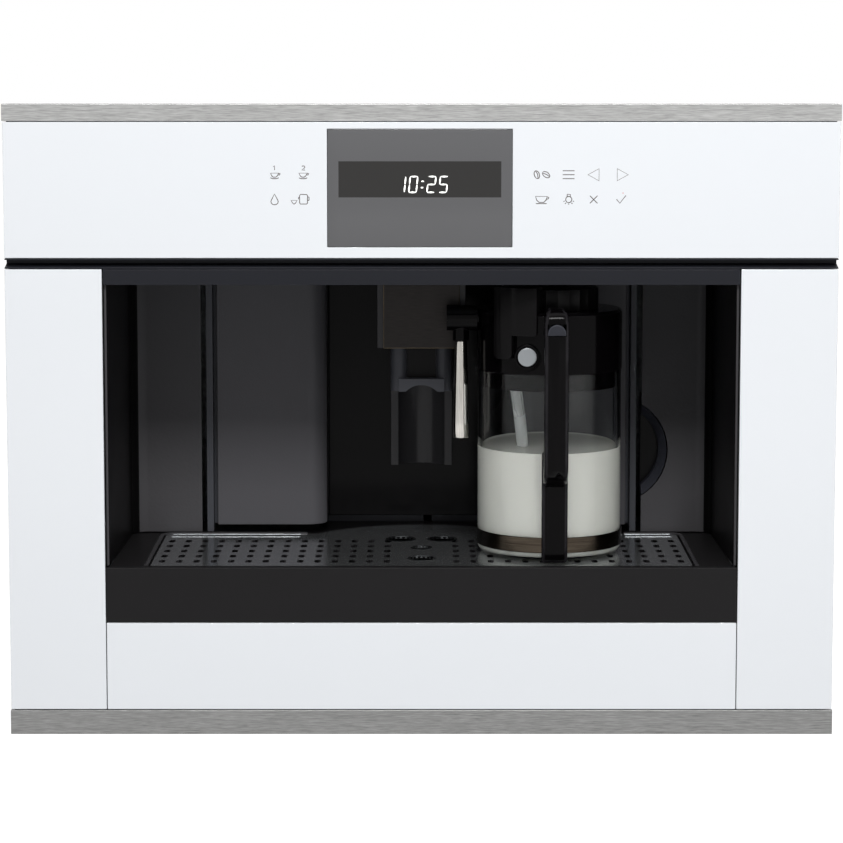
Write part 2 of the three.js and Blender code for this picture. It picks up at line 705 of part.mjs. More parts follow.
// The fixed floor strip under the door, with legs to the deck and the lower hinge pin.
function doorSill(group) {
  const front = trayBack + running;
  const back = insideFront - sillGap;
  const wide = linerInner - linerDraft;
  const strip = cut(
    box(-wide, wide, front, back, bandTop - sillHeight, bandTop),
    rod('z', 0, bulgeCentre, bulgeRadius + running, trayBottom, bandTop + overcut, 64));
  const legs = mirrored((s) => box(...sideRange(s, wide - sillLegWidth, wide), front + overcut, back,
    deckTop + seat, bandTop - sillHeight / 2));
  const pin = rod('z', hingeX, hingeY, hingePinRadius, bandTop - 1, bandTop + seam + hingePinLength, 24);
  part(group, 'door_sill', join(strip, legs, pin), 'blackMatt');
}

// ---------------------------------------------------------------- service door
function serviceDoor(group) {
  const half = doorPanelHalf;
  const front = cavityDepth;
  const edge = doorRecessHalf + doorRecessRadius;
  const back = front + doorThickness;
  const floor = recessBack;
  const shoulder = (side) => {
    const swell = arc(edge, front + doorRecessRadius, doorRecessRadius, 270, 180, 6);
    return swell.map(([x, y]) => [side * x, y]);
  };
  const outer = doorRecessHalf + doorSkin;
  part(group, 'door_panel', prism('z', [
    [-half, front], ...shoulder(-1), [-doorRecessHalf, floor], [doorRecessHalf, floor],
    ...shoulder(1).reverse(), [half, front], [half, back], [edge - doorSkin, back],
    [outer, front + doorRecessRadius], [outer, floor + doorSkin], [-outer, floor + doorSkin],
    [-outer, front + doorRecessRadius], [-(edge - doorSkin), back], [-half, back],
  ], doorBottom, doorTop), 'blackGloss');
  const wingFront = back + seat;
  const trimBottom = bandTop + 2 * seam;
  const bore = (z0, z1) => rod('z', hingeX, hingeY, hingePinRadius + hingePinFit, z0, z1, 24);
  const trimBack = wingFront + trimWingThickness;
  const trim = (s) => join(
    box(...sideRange(s, trimInner, trimOuter), trimFront, trimBack, trimBottom, doorTop),
    box(...sideRange(s, edge + wingGap, trimOuter), wingFront, trimBack, doorBottom, doorTop));
  part(group, 'door_trim_left', cut(trim(-1),
    bore(trimBottom - overcut, trimBottom + hingePinLength + 1),
    bore(doorTop - hingePinLength - 1, doorTop + overcut)), 'greyPlastic');
  part(group, 'door_trim_right', trim(1), 'greyPlastic');
}

function spoutCarrier(group) {
  const shell = box(-housingHalf, housingHalf, shaftFront - housingWall, housingRootY, plateBottom,
    housingTopZ);
  const inner = housingHalf - housingWall;
  const shaft = box(-inner, inner, shaftFront, shaftBack, plateBottom - overcut, housingTopZ - housingWall);
  const hollow = box(-inner, inner, shaftBack + housingWall, housingRootY - columnDepth - housingWall,
    plateBottom - overcut, housingTopZ - housingWall);
  const column = cut(
    box(-columnHalf, columnHalf, housingRootY - columnDepth, housingRootY, columnBottom, plateBottom + 1),
    rod('z', 0, housingRootY - columnDepth - columnGroove / 3, columnGroove, columnBottom - overcut,
      plateBottom - 2, 32));
  part(group, 'spout_housing', join(cut(shell, shaft, hollow), column), 'blackGloss');
  part(group, 'spout_plate', box(-plateHalf, plateHalf, plateFace, plateFace + plateThickness, plateBottom,
    housingTopZ - 2), 'brushedSteel');
  const faceY = cavityDepth - seat;
  part(group, 'steam_coupler', join(
    rod('y', jugX, armZ, couplerRadius, jugY + lidRadius + seam, faceY, 24),
    rod('y', jugX, armZ, couplerNozzleRadius, jugY + lidRadius - couplerNozzleLength, faceY - 1, 20)),
  'greyPlastic');
}

// The height-adjustable block: a carrier that slides in the shaft, two outlet tubes and a bridge.
function coffeeSpout(group) {
  const half = spoutTubeSpacing / 2;
  const carrierHalfWidth = half + spoutTubeRadius;
  const webBottom = spoutTubeBottom + spoutBridgeHeight * 0.7;
  const top = housingTopZ - housingWall - running * 4;
  const front = shaftFront + running;
  const back = shaftBack - running;
  const bridgeTop = spoutTubeBottom + spoutBridgeHeight;
  const tube = (x) => rod('z', x, spoutY, spoutTubeRadius, spoutTubeBottom, plateBottom + spoutRoot + 2, 24);
  const bore = (x) => rod('z', x, spoutY, spoutTubeRadius - 2, spoutTubeBottom - overcut,
    spoutTubeBottom + spoutBoreDepth, 16);
  const archRadius = (half - spoutTubeRadius + 1) ** 2 / (2 * spoutBridgeArch) + spoutBridgeArch / 2;
  const bridge = cut(
    box(-half, half, front + 2, spoutY + spoutTubeRadius, spoutTubeBottom, bridgeTop),
    rod('y', 0, spoutTubeBottom + spoutBridgeArch - archRadius, archRadius, front - overcut,
      back + overcut, 48));
  part(group, 'coffee_spout', join(
    cut(join(
      box(-carrierHalfWidth, carrierHalfWidth, spoutY, back, webBottom, plateBottom + spoutRoot),
      tube(-half), tube(half)), bore(-half), bore(half)),
    box(-carrierHalfWidth, carrierHalfWidth, front, back, plateBottom + spoutRoot, top),
    bridge), 'greyPlastic');
}

// ---------------------------------------------------------------- drip tray
// The tray's outline from above: a rectangle whose back swells in a circular arc.
function trayOutline(half, front, back, inset, steps) {
  const radius = bulgeRadius - inset;
  const reach = Math.sqrt(radius ** 2 - (back - bulgeCentre) ** 2);
  const start = THREE.MathUtils.radToDeg(Math.atan2(back - bulgeCentre, reach));
  return [[-half, front], [half, front], [half, back],
    ...arc(0, bulgeCentre, radius, start, 180 - start, steps), [-half, back]];
}

function dripTray(group) {
  const recessFloor = bandTop - gridThickness - seat;
  const gridFront = trayFront + gridRim;
  const gridBack = trayBack - gridRim;
  const basinHalf = gridHalf - trayWall;
  const body = cut(
    prism('z', trayOutline(trayHalf, trayFront, trayBack, 0, 12), trayBottom, bandTop),
    prism('z', trayOutline(gridHalf + gridFit, gridFront - gridFit / 2, gridBack + gridFit / 2,
      gridRim - gridFit / 2, 12), recessFloor, bandTop + overcut),
    prism('z', trayOutline(basinHalf, gridFront + trayWall, gridBack - trayWall, gridRim + trayWall, 12),
      trayBottom + trayFloor, bandTop + overcut));
  const band = box(-(openingHalf - seat), openingHalf - seat, bandSetback, trayFront + 1, bandBottom,
    bandTop);
  part(group, 'drip_tray', join(body, band), 'blackMatt');
  const slot = (x, y) => box(x - slotWidth / 2, x + slotWidth / 2, y - slotLength / 2, y + slotLength / 2,
    recessFloor, bandTop + overcut);
  const slots = [];
  for (let row = 0; row < slotRows; row += 1) {
    for (let column = 0; column < slotColumns; column += 1) {
      const x = slotFirstColumn + slotPitchX * column;
      const y = slotFirstRow + slotPitchY * row;
      slots.push(slot(-x, y), slot(x, y));
    }
  }
  const hole = (x, y, radius) => rod('z', x, y, radius, recessFloor, bandTop + overcut, 16);
  const rings = [
    hole(-ringSpacing / 2, ringBack, ringBackRadius), hole(ringSpacing / 2, ringBack, ringBackRadius),
    hole(0, ringFront, ringRadius), hole(0, ringMiddle, ringMiddleRadius),
  ];
  const plate = prism('z', trayOutline(gridHalf, gridFront, gridBack, gridRim, 12),
    recessFloor + seat, bandTop);
  part(group, 'drip_grid', cut(plate, ...slots, ...rings), 'polishedSteel');
}

// ---------------------------------------------------------------- milk jug
function jugGlass(group) {
  const inner = jugRadius - jugWall;
  const innerCorner = jugCorner - jugWall;
  const floor = jugBase + jugFloor;
  part(group, 'jug_glass', turned(jugX, jugY, [
    [0, jugBase], ...arc(jugRadius - jugCorner, jugBase + jugCorner, jugCorner, -90, 0, 4),
    [jugRadius, jugTop], [inner, jugTop],
    ...arc(inner - innerCorner, floor + innerCorner, innerCorner, 0, -90, 3), [0, floor],
  ], 40), 'jugGlass');
  const bandInner = jugRadius + seat;
  part(group, 'jug_band', turned(jugX, jugY, [
    [bandInner, steelBandBottom], [bandInner + steelBandWall, steelBandBottom],
    [bandInner + steelBandWall, steelBandBottom + steelBandHeight],
    [bandInner, steelBandBottom + steelBandHeight],
  ], 40), 'brushedSteel');
}

function jugHandle(group) {
  const front = -handleReach;
  const stemBack = jugY - (jugRadius + seat + steelBandWall) - seat;
  const stemFront = stemBack - stemThickness;
  const gripBack = front + gripThickness;
  const armBack = jugY - lidRadius - seat;
  const profile = [
    [stemFront, jugBase + seam + 3], [stemFront + 3, jugBase + seam], [stemBack, jugBase + seam],
    [stemBack, gripBottom], [gripBack + 4, gripBottom], [gripBack, gripBottom + 6],
    [gripBack, gripTop - gripArm - 4], [gripBack + 4, gripTop - gripArm], [armBack, gripTop - gripArm],
    [armBack, gripTop], ...arc(front + gripCrown, gripTop - gripCrown, gripCrown, 90, 180, 4),
    [front, gripBottom + 2], [stemFront, gripBottom - gripSlope],
  ];
  const centre = jugX + handleOffset;
  const keyPocket = box(centre - keyWidth / 2 - seat, centre + keyWidth / 2 + seat, front - overcut,
    front + keyLength - keyProud + keyTravel, keyBottom - seat, keyBottom + keyHeight + seat);
  part(group, 'jug_handle', cut(
    prism('x', profile, centre - handleWidth / 2, centre + handleWidth / 2), keyPocket), 'blackGloss');
}

// The key in the grip that frees the lid.
function releaseKey(group) {
  const front = -handleReach;
  const centre = jugX + handleOffset;
  part(group, 'lid_release_key', box(centre - keyWidth / 2, centre + keyWidth / 2, front - keyProud,
    front - keyProud + keyLength, keyBottom, keyBottom + keyHeight), 'blackMatt');
}

function jugLid(group) {
  const buttonFace = jugY - Math.sqrt(lidRadius ** 2 - buttonX ** 2);
  const cover = turned(jugX, jugY, [
    [0, jugTop + seat], [lidRadius, jugTop + seat], [lidRadius, lidTop - 2], [lidRadius - 2, lidTop],
    [0, lidTop],
  ], 40);
  const skirt = turned(jugX, jugY, [
    [0, jugTop - lidSkirtDepth], [jugRadius - jugWall - seam, jugTop - lidSkirtDepth],
    [jugRadius - jugWall - seam, jugTop + 1], [0, jugTop + 1],
  ], 40);
  const hollow = rod('z', jugX, jugY, jugRadius - jugWall - seam - lidSkirtWall,
    jugTop - lidSkirtDepth - overcut, lidTop - lidRoof, 32);
  const buttonBore = rod('y', jugX + buttonX, buttonZ, buttonRadius + seat, buttonFace - overcut,
    buttonFace + buttonLength + buttonTravel, 20);
  const buttonRecess = rod('y', jugX + buttonX, buttonZ, buttonRadius + buttonRing,
    buttonFace - 3 * overcut, buttonFace + 1, 24);
  const armBore = rod('x', jugY + armY, armZ, armSpigotRadius + seat, jugX - lidRadius - overcut,
    jugX - lidRadius + armSpigotLength + 1, 20);
  const steamBore = rod('y', jugX, armZ, couplerNozzleRadius + running, jugY + lidRadius
    - couplerNozzleLength - 1, jugY + lidRadius + overcut, 20);
  part(group, 'jug_lid', cut(join(cover, skirt), hollow, buttonBore, buttonRecess, armBore, steamBore),
    'blackGloss');
  const lidUnderside = lidTop - lidRoof - seat;
  part(group, 'milk_intake_tube', cut(
    rod('z', jugX - intakeOffset, jugY, intakeRadius, intakeBottom, lidUnderside, 12),
    rod('z', jugX - intakeOffset, jugY, intakeRadius - 1, intakeBottom - overcut, lidUnderside - 2, 8)),
  'clearPlastic');
}

function cleanButton(group) {
  const face = jugY - Math.sqrt(lidRadius ** 2 - buttonX ** 2);
  part(group, 'clean_button', rod('y', jugX + buttonX, buttonZ, buttonRadius, face - buttonProud,
    face - buttonProud + buttonLength, 20), 'silverButton');
}

// A block that follows the lid's curve between two angles left of the front.
function curvedBlock(innerRadius, outerRadius, startAngle, endAngle, z0, z1) {
  const steps = 4;
  return prism('z', [
    ...arc(jugX, jugY, outerRadius, 270 - startAngle, 270 - endAngle, steps),
    ...arc(jugX, jugY, innerRadius, 270 - endAngle, 270 - startAngle, steps),
  ], z0, z1);
}

function frothSelector(group) {
  const ringBottom = lidTop + seat;
  const ribPoints = Array.from({ length: selectorRibs * 2 }, (_, i) => {
    const angle = (Math.PI * i) / selectorRibs;
    const radius = selectorRadius - (i % 2 ? selectorRibDepth : 0);
    return [jugX + radius * Math.cos(angle), jugY + radius * Math.sin(angle)];
  });
  const face = lidRadius + running;
  const rim = face + leverThickness;
  part(group, 'froth_selector', join(
    prism('z', ribPoints, ringBottom, selectorTop),
    curvedBlock(selectorRadius - 6, rim, leverStart - 6, leverEnd, ringBottom, leverTop),
    curvedBlock(face, rim, leverStart - 6, leverEnd, leverBottom, leverTop),
    curvedBlock(face, rim, leverStart, leverTongueEnd, leverTongueBottom, leverTop)), 'blackMatt');
}

function milkSpout(group) {
  const y = jugY + armY;
  const lidSide = jugX - Math.sqrt(lidRadius ** 2 - armY ** 2);
  const armStart = milkTubeX - armRadius - 1;
  const elbowBottom = milkTubeTop + seat;
  part(group, 'milk_spout_elbow', cut(join(
    rod('x', y, armZ, armRadius, armStart, lidSide - seat, 24),
    rod('x', y, armZ, armSpigotRadius, lidSide - 1, lidSide + armSpigotLength, 20),
    rod('z', milkTubeX, y, milkCollarRadius, elbowBottom, armZ, 20)),
  rod('z', milkTubeX, y, milkBore, elbowBottom - overcut, armZ - 4, 12)), 'blackGloss');
  const bottom = milkTubeTop - milkTubeLength;
  part(group, 'milk_spout_tube', turned(milkTubeX, y, [
    [milkBore, bottom], [milkTubeBottomRadius, bottom], [milkTubeTopRadius, milkTubeTop],
    [milkBore, milkTubeTop],
  ], 24), 'chrome');
}

// ---------------------------------------------------------------- water, grounds and brewing
function openBox(x0, x1, y0, y1, z0, z1, wall) {
  return cut(box(x0, x1, y0, y1, z0, z1),
    box(x0 + wall, x1 - wall, y0 + wall, y1 - wall, z0 + wall, z1 + overcut));
}

function containers(group) {
  const floor = insideFloor;
  const tankRight = tankLeft + tankWidth;
  const tankBack = insideBack - tankEndGap;
  const tankTop = shelfBottom - tankHeadroom;
  const mouthX = (tankLeft + tankRight) / 2;
  part(group, 'water_tank', cut(
    box(tankLeft, tankRight, insideFront, tankBack, floor, tankTop),
    box(tankLeft + tankWall, tankRight - tankWall, insideFront + tankWall, tankBack - tankWall,
      floor + tankWall, tankTop - tankWall),
    box(mouthX - tankMouth / 2, mouthX + tankMouth / 2, insideFront + 4 * tankWall,
      insideFront + 4 * tankWall + tankMouth, tankTop - 2 * tankWall, tankTop + overcut)), 'clearPlastic');
  part(group, 'grounds_container', openBox(binLeft, binLeft + binWidth, insideFront,
    insideFront + binDepth, floor, floor + binHeight, binWall), 'greyPlastic');
}

function brewGroup(fixed, pistonGroup, nutGroup) {
  const floor = insideFloor;
  const top = brewTop;
  const chamberFloor = top - chamberDepth;
  const pistonHeadZ = chamberFloor + pistonRest;
  const nutZ = floor + nutLift;
  const nutTop = nutZ + nutHeight;
  const rodHole = pistonRodRadius + running;
  part(fixed, 'brew_group_body', cut(
    box(brewX - brewWidth / 2, brewX + brewWidth / 2, insideFront + 2, insideFront + 2 + brewDepth,
      floor, top),
    rod('z', brewX, brewY, chamberRadius, chamberFloor, top + overcut, 28),
    rod('z', brewX, brewY, rodHole, floor + 3, chamberFloor + 1, 16),
    box(brewX - brewWidth, brewX + brewWidth, brewY - nutRadius - 5, brewY + nutRadius + 5, nutZ - seat,
      nutTop + seat)), 'greyPlastic');
  part(pistonGroup, 'brew_piston', join(
    rod('z', brewX, brewY, chamberRadius - running, pistonHeadZ, pistonHeadZ + pistonHead, 28),
    rod('z', brewX, brewY, pistonRodRadius, floor + 5, pistonHeadZ + 1, 16)), 'greyPlastic');
  part(nutGroup, 'brew_drive_nut', cut(
    rod('z', brewX, brewY, nutRadius, nutZ, nutTop, nutFlats),
    rod('z', brewX, brewY, rodHole, nutZ - overcut, nutTop + overcut, 16)), 'brass');
}

function grinder(fixed, burrGroup) {
  const floor = shelfTop + seat;
  const top = floor + grinderHeight;
  const burrFloor = top - burrDepth;
  part(fixed, 'grinder_body', cut(
    rod('z', brewX, brewY, grinderRadius, floor, top, 32),
    rod('z', brewX, brewY, burrBore, burrFloor, top + overcut, 28),
    rod('z', brewX, brewY, chuteRadius, floor - overcut, burrFloor + 1, 20)), 'greyPlastic');
  const burrBottom = burrFloor + 2 * seat;
  part(burrGroup, 'grinder_burr', turned(brewX, brewY, [
    [0, burrBottom - burrShaftLength], [burrShaftRadius, burrBottom - burrShaftLength],
    [burrShaftRadius, burrBottom], [burrBore - 2 * seat, burrBottom],
    [burrTopRadius, burrBottom + burrHeight], [0, burrBottom + burrHeight],
  ], 20), 'zincSheet');
  part(fixed, 'grinder_motor', rod('z', brewX - grinderRadius - motorRadius - seat, brewY, motorRadius,
    floor, floor + motorHeight, 24), 'zincSheet');
}

function hopper(fixed, lidGroup, knobGroup) {
  const top = housingTop - sheet - seat;
  part(fixed, 'bean_hopper', cut(
    openBox(hopperLeft, hopperRight, hopperFront, hopperBack, hopperBottom, top, hopperWall),
    rod('z', brewX, brewY, hopperMouthRadius, hopperBottom - overcut, hopperBottom + overcut, 20)),
  'clearPlastic');
  const bottom = housingTop + seat;
  const lidTopZ = bottom + hopperLidThickness;
  const barrelBore = rod('x', lidHingeY, lidHingeZ, lidPinRadius + running, lidLeft - overcut,
    lidRight + overcut, 16);
  part(lidGroup, 'hopper_lid', cut(join(
    box(lidLeft, lidRight, hopperFront - hopperLidLap, hopperBack + hopperLidLap, bottom, lidTopZ),
    box(lidLeft, lidRight, hopperBack, lidHingeY, bottom + 1, lidTopZ),
    rod('x', lidHingeY, lidHingeZ, lidBarrelRadius, lidLeft, lidRight, 16)), barrelBore), 'greyPlastic');
  const knobPoints = Array.from({ length: knobRibs * 2 }, (_, i) => {
    const angle = (Math.PI * i) / knobRibs;
    const radius = knobRadius - (i % 2 ? 1 : 0);
    return [knobX + radius * Math.cos(angle), brewY + radius * Math.sin(angle)];
  });
  part(knobGroup, 'grind_knob', join(
    prism('z', knobPoints, bottom, bottom + knobHeight),
    rod('z', knobX, brewY, knobSpindleRadius, bottom - knobSpindleLength, bottom + 1, 16)), 'blackMatt');
}

function boilersAndPump(group) {
  const floor = insideFloor;
  const boiler = (x, radius, height) => join(
    rod('z', x, brewY, radius, floor, floor + height - boilerCap, 28),
    rod('z', x, brewY, radius - boilerCap / 2, floor + height - boilerCap - 1, floor + height, 28));
  part(group, 'coffee_boiler', boiler(coffeeBoilerX, coffeeBoilerRadius, coffeeBoilerHeight), 'brushedSteel');
  part(group, 'steam_boiler', boiler(steamBoilerX, steamBoilerRadius, steamBoilerHeight), 'brushedSteel');
  const boilerTop = floor + coffeeBoilerHeight;
  const brewSide = brewX + brewWidth / 2;
  const hoseZ = (boilerTop + brewTop - hoseTopGap) / 2;
  const bend = hoseZ - boilerTop;
  const route = new THREE.CatmullRomCurve3([
    new THREE.Vector3(coffeeBoilerX, brewY, boilerTop + seat),
    new THREE.Vector3(coffeeBoilerX, brewY, boilerTop + bend / 2),
    new THREE.Vector3(coffeeBoilerX - bend / 3, brewY, hoseZ - bend / 8),
    new THREE.Vector3(coffeeBoilerX - bend * 0.75, brewY, hoseZ),
    new THREE.Vector3(brewSide + seat, brewY, hoseZ),
  ]);
  const section = new THREE.Shape(circle(0, 0, hoseRadius, 8).map(([a, b]) => new THREE.Vector2(a, b)));
  part(group, 'pressure_hose', solid(new THREE.ExtrudeGeometry(section, { steps: 14, extrudePath: route })),
    'silicone');
  const base = baseTop + seat;
  const pumpAxisZ = base + pumpBlockHeight / 2;
  part(group, 'water_pump', join(
    box(pumpX - pumpBlockWidth / 2, pumpX + pumpBlockWidth / 2, pumpY, pumpY + pumpLength / 3, base,
      base + pumpBlockHeight),
    rod('y', pumpX, pumpAxisZ, pumpCoilRadius, pumpY + 1, pumpY + pumpLength, 24)), 'greyPlastic');
}

function electrics(group) {
  const base = baseTop + seat;
  const left = powerBoardX - powerBoardWidth / 2;
  const right = powerBoardX + powerBoardWidth / 2;
  const plate = box(left, right, powerBoardY, powerBoardY + powerBoardLength, base, base + boardThickness);
  const parts = [[6, 22, 10, 35, 15], [30, 42, 12, 30, 11], [10, 30, 50, 75, 9], [42, 55, 48, 80, 13]];
  const blocks = parts.map((sides) => {
    const [x0, x1, y0, y1, height] = sides.map((steps) => steps * powerBoardRaster);
    return box(left + x0, left + x1, powerBoardY + y0, powerBoardY + y1, base + boardThickness - seat,
      base + height);
  });
  part(group, 'power_board', join(plate, ...blocks), 'boardGreen');
  const face = machineDepth - 2 * seat;
  part(group, 'mains_inlet', cut(
    box(inletX - inletWidth / 2, inletX + inletWidth / 2, face - inletLength, face,
      inletZ - inletHeight / 2, inletZ + inletHeight / 2),
    box(inletX - inletSocketWidth / 2, inletX + inletSocketWidth / 2, face - inletSocketDepth,
      face + overcut, inletZ - inletSocketHeight / 2, inletZ + inletSocketHeight / 2)), 'blackMatt');
}

// ---------------------------------------------------------------- the assembly
const machine = new THREE.Group();
machine.position.y = -depthCentre;
const subgroup = () => {
  const group = new THREE.Group();
  machine.add(group);
  return group;
};

const fixedRails = subgroup();
const middleRails = subgroup();
const chassis = subgroup();
const door = subgroup();
const spoutSlide = subgroup();
const tray = subgroup();
const jug = subgroup();
const selector = subgroup();
const button = subgroup();
const key = subgroup();
const milkOutlet = subgroup();
const piston = subgroup();
const driveNut = subgroup();
const burr = subgroup();
const hopperCover = subgroup();
const knob = subgroup();

rails(fixedRails, middleRails);
frontPanels(chassis);
carrier(chassis);
controlBoard(chassis);
housing(chassis);
housingTopPlate(chassis);
cavity(chassis);
doorSill(chassis);
serviceDoor(door);
spoutCarrier(door);
coffeeSpout(spoutSlide);
dripTray(tray);
jugGlass(jug);
jugHandle(jug);
jugLid(jug);
cleanButton(button);
releaseKey(key);
frothSelector(selector);
milkSpout(milkOutlet);
containers(chassis);
brewGroup(chassis, piston, driveNut);
grinder(chassis, burr);
hopper(chassis, hopperCover, knob);
boilersAndPump(chassis);
electrics(chassis);

export default machine;
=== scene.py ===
import json
import math

import bmesh
import bpy
from mathutils import Matrix, Vector


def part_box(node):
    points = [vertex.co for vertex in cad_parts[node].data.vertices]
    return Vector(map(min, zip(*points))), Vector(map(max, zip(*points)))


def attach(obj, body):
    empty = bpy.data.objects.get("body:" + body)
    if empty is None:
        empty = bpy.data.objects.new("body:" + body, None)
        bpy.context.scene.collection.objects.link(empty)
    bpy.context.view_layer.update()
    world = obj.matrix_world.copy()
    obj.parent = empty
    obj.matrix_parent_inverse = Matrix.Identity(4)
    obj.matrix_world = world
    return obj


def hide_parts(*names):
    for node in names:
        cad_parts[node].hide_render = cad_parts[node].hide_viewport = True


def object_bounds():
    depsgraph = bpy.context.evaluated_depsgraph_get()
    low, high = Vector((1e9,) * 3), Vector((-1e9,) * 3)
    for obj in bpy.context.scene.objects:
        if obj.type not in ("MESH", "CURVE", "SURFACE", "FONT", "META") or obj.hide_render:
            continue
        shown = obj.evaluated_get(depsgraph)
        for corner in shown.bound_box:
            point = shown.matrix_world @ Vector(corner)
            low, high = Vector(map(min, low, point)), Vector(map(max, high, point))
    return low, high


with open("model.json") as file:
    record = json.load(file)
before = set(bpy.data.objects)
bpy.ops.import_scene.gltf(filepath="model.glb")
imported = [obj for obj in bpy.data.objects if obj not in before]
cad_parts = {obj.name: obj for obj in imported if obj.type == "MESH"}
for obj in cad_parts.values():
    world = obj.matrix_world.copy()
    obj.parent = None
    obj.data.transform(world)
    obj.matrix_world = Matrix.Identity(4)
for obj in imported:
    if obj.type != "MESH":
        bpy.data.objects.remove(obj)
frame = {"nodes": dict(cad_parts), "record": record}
cadLow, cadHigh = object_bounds()
mm = 0.001
tiny = 1e-6  # metres, for telling whether two places are the same
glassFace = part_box("control_glass")[0].y
bodyOf = {node: body for body, nodes in frame["record"]["behaviour"]["bodies"].items() for node in nodes}
print("frame loaded:", len(frame["nodes"]), "nodes")


def depth(millimetres):
    # a distance behind the front glass, as a Y of the frame
    return glassFace + millimetres * mm


cameraSet = {"place": (0, -2.1865, 0.490), "tilt": 83.75, "lens": 120.3, "rise": -0.07}

camera = bpy.data.objects.new("camera", bpy.data.cameras.new("camera"))
camera.location = cameraSet["place"]
camera.rotation_euler = (math.radians(cameraSet["tilt"]), 0, 0)
camera.data.lens = cameraSet["lens"]
camera.data.shift_y = cameraSet["rise"]
bpy.context.scene.collection.objects.link(camera)
bpy.context.scene.camera = camera
bpy.context.scene.view_settings.view_transform = "Standard"


def tone(code):
    # a colour written as six hex digits, made linear
    parts = [int(code[i:i + 2], 16) / 255 for i in (0, 2, 4)]
    return tuple(c / 12.92 if c <= 0.04045 else ((c + 0.055) / 1.055) ** 2.4 for c in parts) + (1,)


def addNode(tree, kind, inputs=None, **settings):
    node = tree.nodes.new(kind)
    for key, value in settings.items():
        setattr(node, key, value)
    for key, value in (inputs or {}).items():
        feed(tree, value, node.inputs[key])
    return node


def feed(tree, value, socket):
    # value is another node's output or a plain value
    if isinstance(value, bpy.types.NodeSocket):
        tree.links.new(value, socket)
    else:
        socket.default_value = value


def maths(tree, operation, first, second):
    return addNode(tree, "ShaderNodeMath", {0: first, 1: second}, operation=operation).outputs[0]


def spread(tree, value, low, high, start=0, stop=1):
    # value runs from start to stop, the result from low to high
    return addNode(tree, "ShaderNodeMapRange", {"Value": value, "From Min": start, "From Max": stop,
                                                "To Min": low, "To Max": high}).outputs["Result"]


def blendTones(tree, mask, first, second):
    return addNode(tree, "ShaderNodeMix", {0: mask, 6: first, 7: second}, data_type="RGBA").outputs[2]


def bareMaterial(name):
    material = bpy.data.materials.new(name)
    material.use_nodes = True
    return material, material.node_tree, material.node_tree.nodes["Principled BSDF"]


stageSet = {"size": 14, "floor": "c4c4c4", "floorRough": 0.9, "floorShine": 0.1, "lift": 0.86,
            "daylight": 0.25, "gap": 0.0002}
lampSet = {
    "key": {"place": (0.1, -1.95, 2.0), "size": (1.0, 0.5), "power": 49, "aim": (0, 0, 0.2)},
    "fillRight": {"place": (2.4, -2.6, 1.0), "size": (1.6, 1.6), "power": 12, "aim": (0.2, -0.15, 0.2)},
    "top": {"place": (0.2, -0.4, 2.6), "size": (2.0, 1.2), "power": 10, "aim": (0, 0, 0.3)},
}


def seenRays(tree):
    # 1 for what the camera, a mirror or a glass sees, 0 for light that falls on the object
    path = addNode(tree, "ShaderNodeLightPath").outputs
    either = maths(tree, "MAXIMUM", path["Is Camera Ray"], path["Is Glossy Ray"])
    return maths(tree, "MAXIMUM", either, path["Is Transmission Ray"])


def buildStage():
    world = bpy.data.worlds.new("studio")
    bpy.context.scene.world = world
    world.use_nodes = True
    tree = world.node_tree
    background = tree.nodes["Background"]
    background.inputs["Color"].default_value = (1, 1, 1, 1)
    feed(tree, spread(tree, seenRays(tree), stageSet["daylight"], 1), background.inputs["Strength"])

    material, tree, shader = bareMaterial("floorPaper")
    shader.inputs["Base Color"].default_value = tone(stageSet["floor"])
    shader.inputs["Roughness"].default_value = stageSet["floorRough"]
    shader.inputs["Specular IOR Level"].default_value = stageSet["floorShine"]
    shader.inputs["Emission Color"].default_value = (1, 1, 1, 1)
    feed(tree, maths(tree, "MULTIPLY", seenRays(tree), stageSet["lift"]), shader.inputs["Emission Strength"])
    paper = bmesh.new()
    bmesh.ops.create_grid(paper, x_segments=1, y_segments=1, size=stageSet["size"])
    mesh = bpy.data.meshes.new("floor")
    paper.to_mesh(mesh)
    paper.free()
    mesh.materials.append(material)
    floor = bpy.data.objects.new("floor", mesh)
    floor.location.z = cadLow.z - stageSet["gap"]
    bpy.context.scene.collection.objects.link(floor)

    for name, lamp in lampSet.items():
        light = bpy.data.lights.new(name, "AREA")
        light.shape = "RECTANGLE"
        light.size, light.size_y = lamp["size"]
        light.energy = lamp["power"]
        holder = bpy.data.objects.new(name, light)
        holder.location = lamp["place"]
        aim = Vector(lamp["aim"]) - Vector(lamp["place"])
        holder.rotation_euler = aim.to_track_quat("-Z", "Y").to_euler()
        bpy.context.scene.collection.objects.link(holder)


buildStage()
print("stage and light ready")


def newGroup(name, inputs, outputs):
    # a node group with a vector and the numbers in inputs, and number outputs
    group = bpy.data.node_groups.new(name, "ShaderNodeTree")
    group.interface.new_socket("Vector", in_out="INPUT", socket_type="NodeSocketVector")
    for label, value in inputs.items():
        socket = group.interface.new_socket(label, in_out="INPUT", socket_type="NodeSocketFloat")
        socket.default_value = value
    for label in outputs:
        group.interface.new_socket(label, in_out="OUTPUT", socket_type="NodeSocketFloat")
    given = group.nodes.new("NodeGroupInput").outputs
    return group, given, group.nodes.new("NodeGroupOutput").inputs


def noise(tree, vector, scale, detail=2.0, rough=0.5, twist=0.0):
    return addNode(tree, "ShaderNodeTexNoise", {"Vector": vector, "Scale": scale, "Detail": detail,
                                                "Roughness": rough, "Distortion": twist}).outputs["Fac"]


def cells(tree, vector, scale, feature):
    return addNode(tree, "ShaderNodeTexVoronoi", {"Vector": vector, "Scale": scale, "Randomness": 1.0},
                   feature=feature).outputs


def mixed(tree, share, first, second):
    return addNode(tree, "ShaderNodeMix", {0: share, 2: first, 3: second}, data_type="FLOAT").outputs[0]


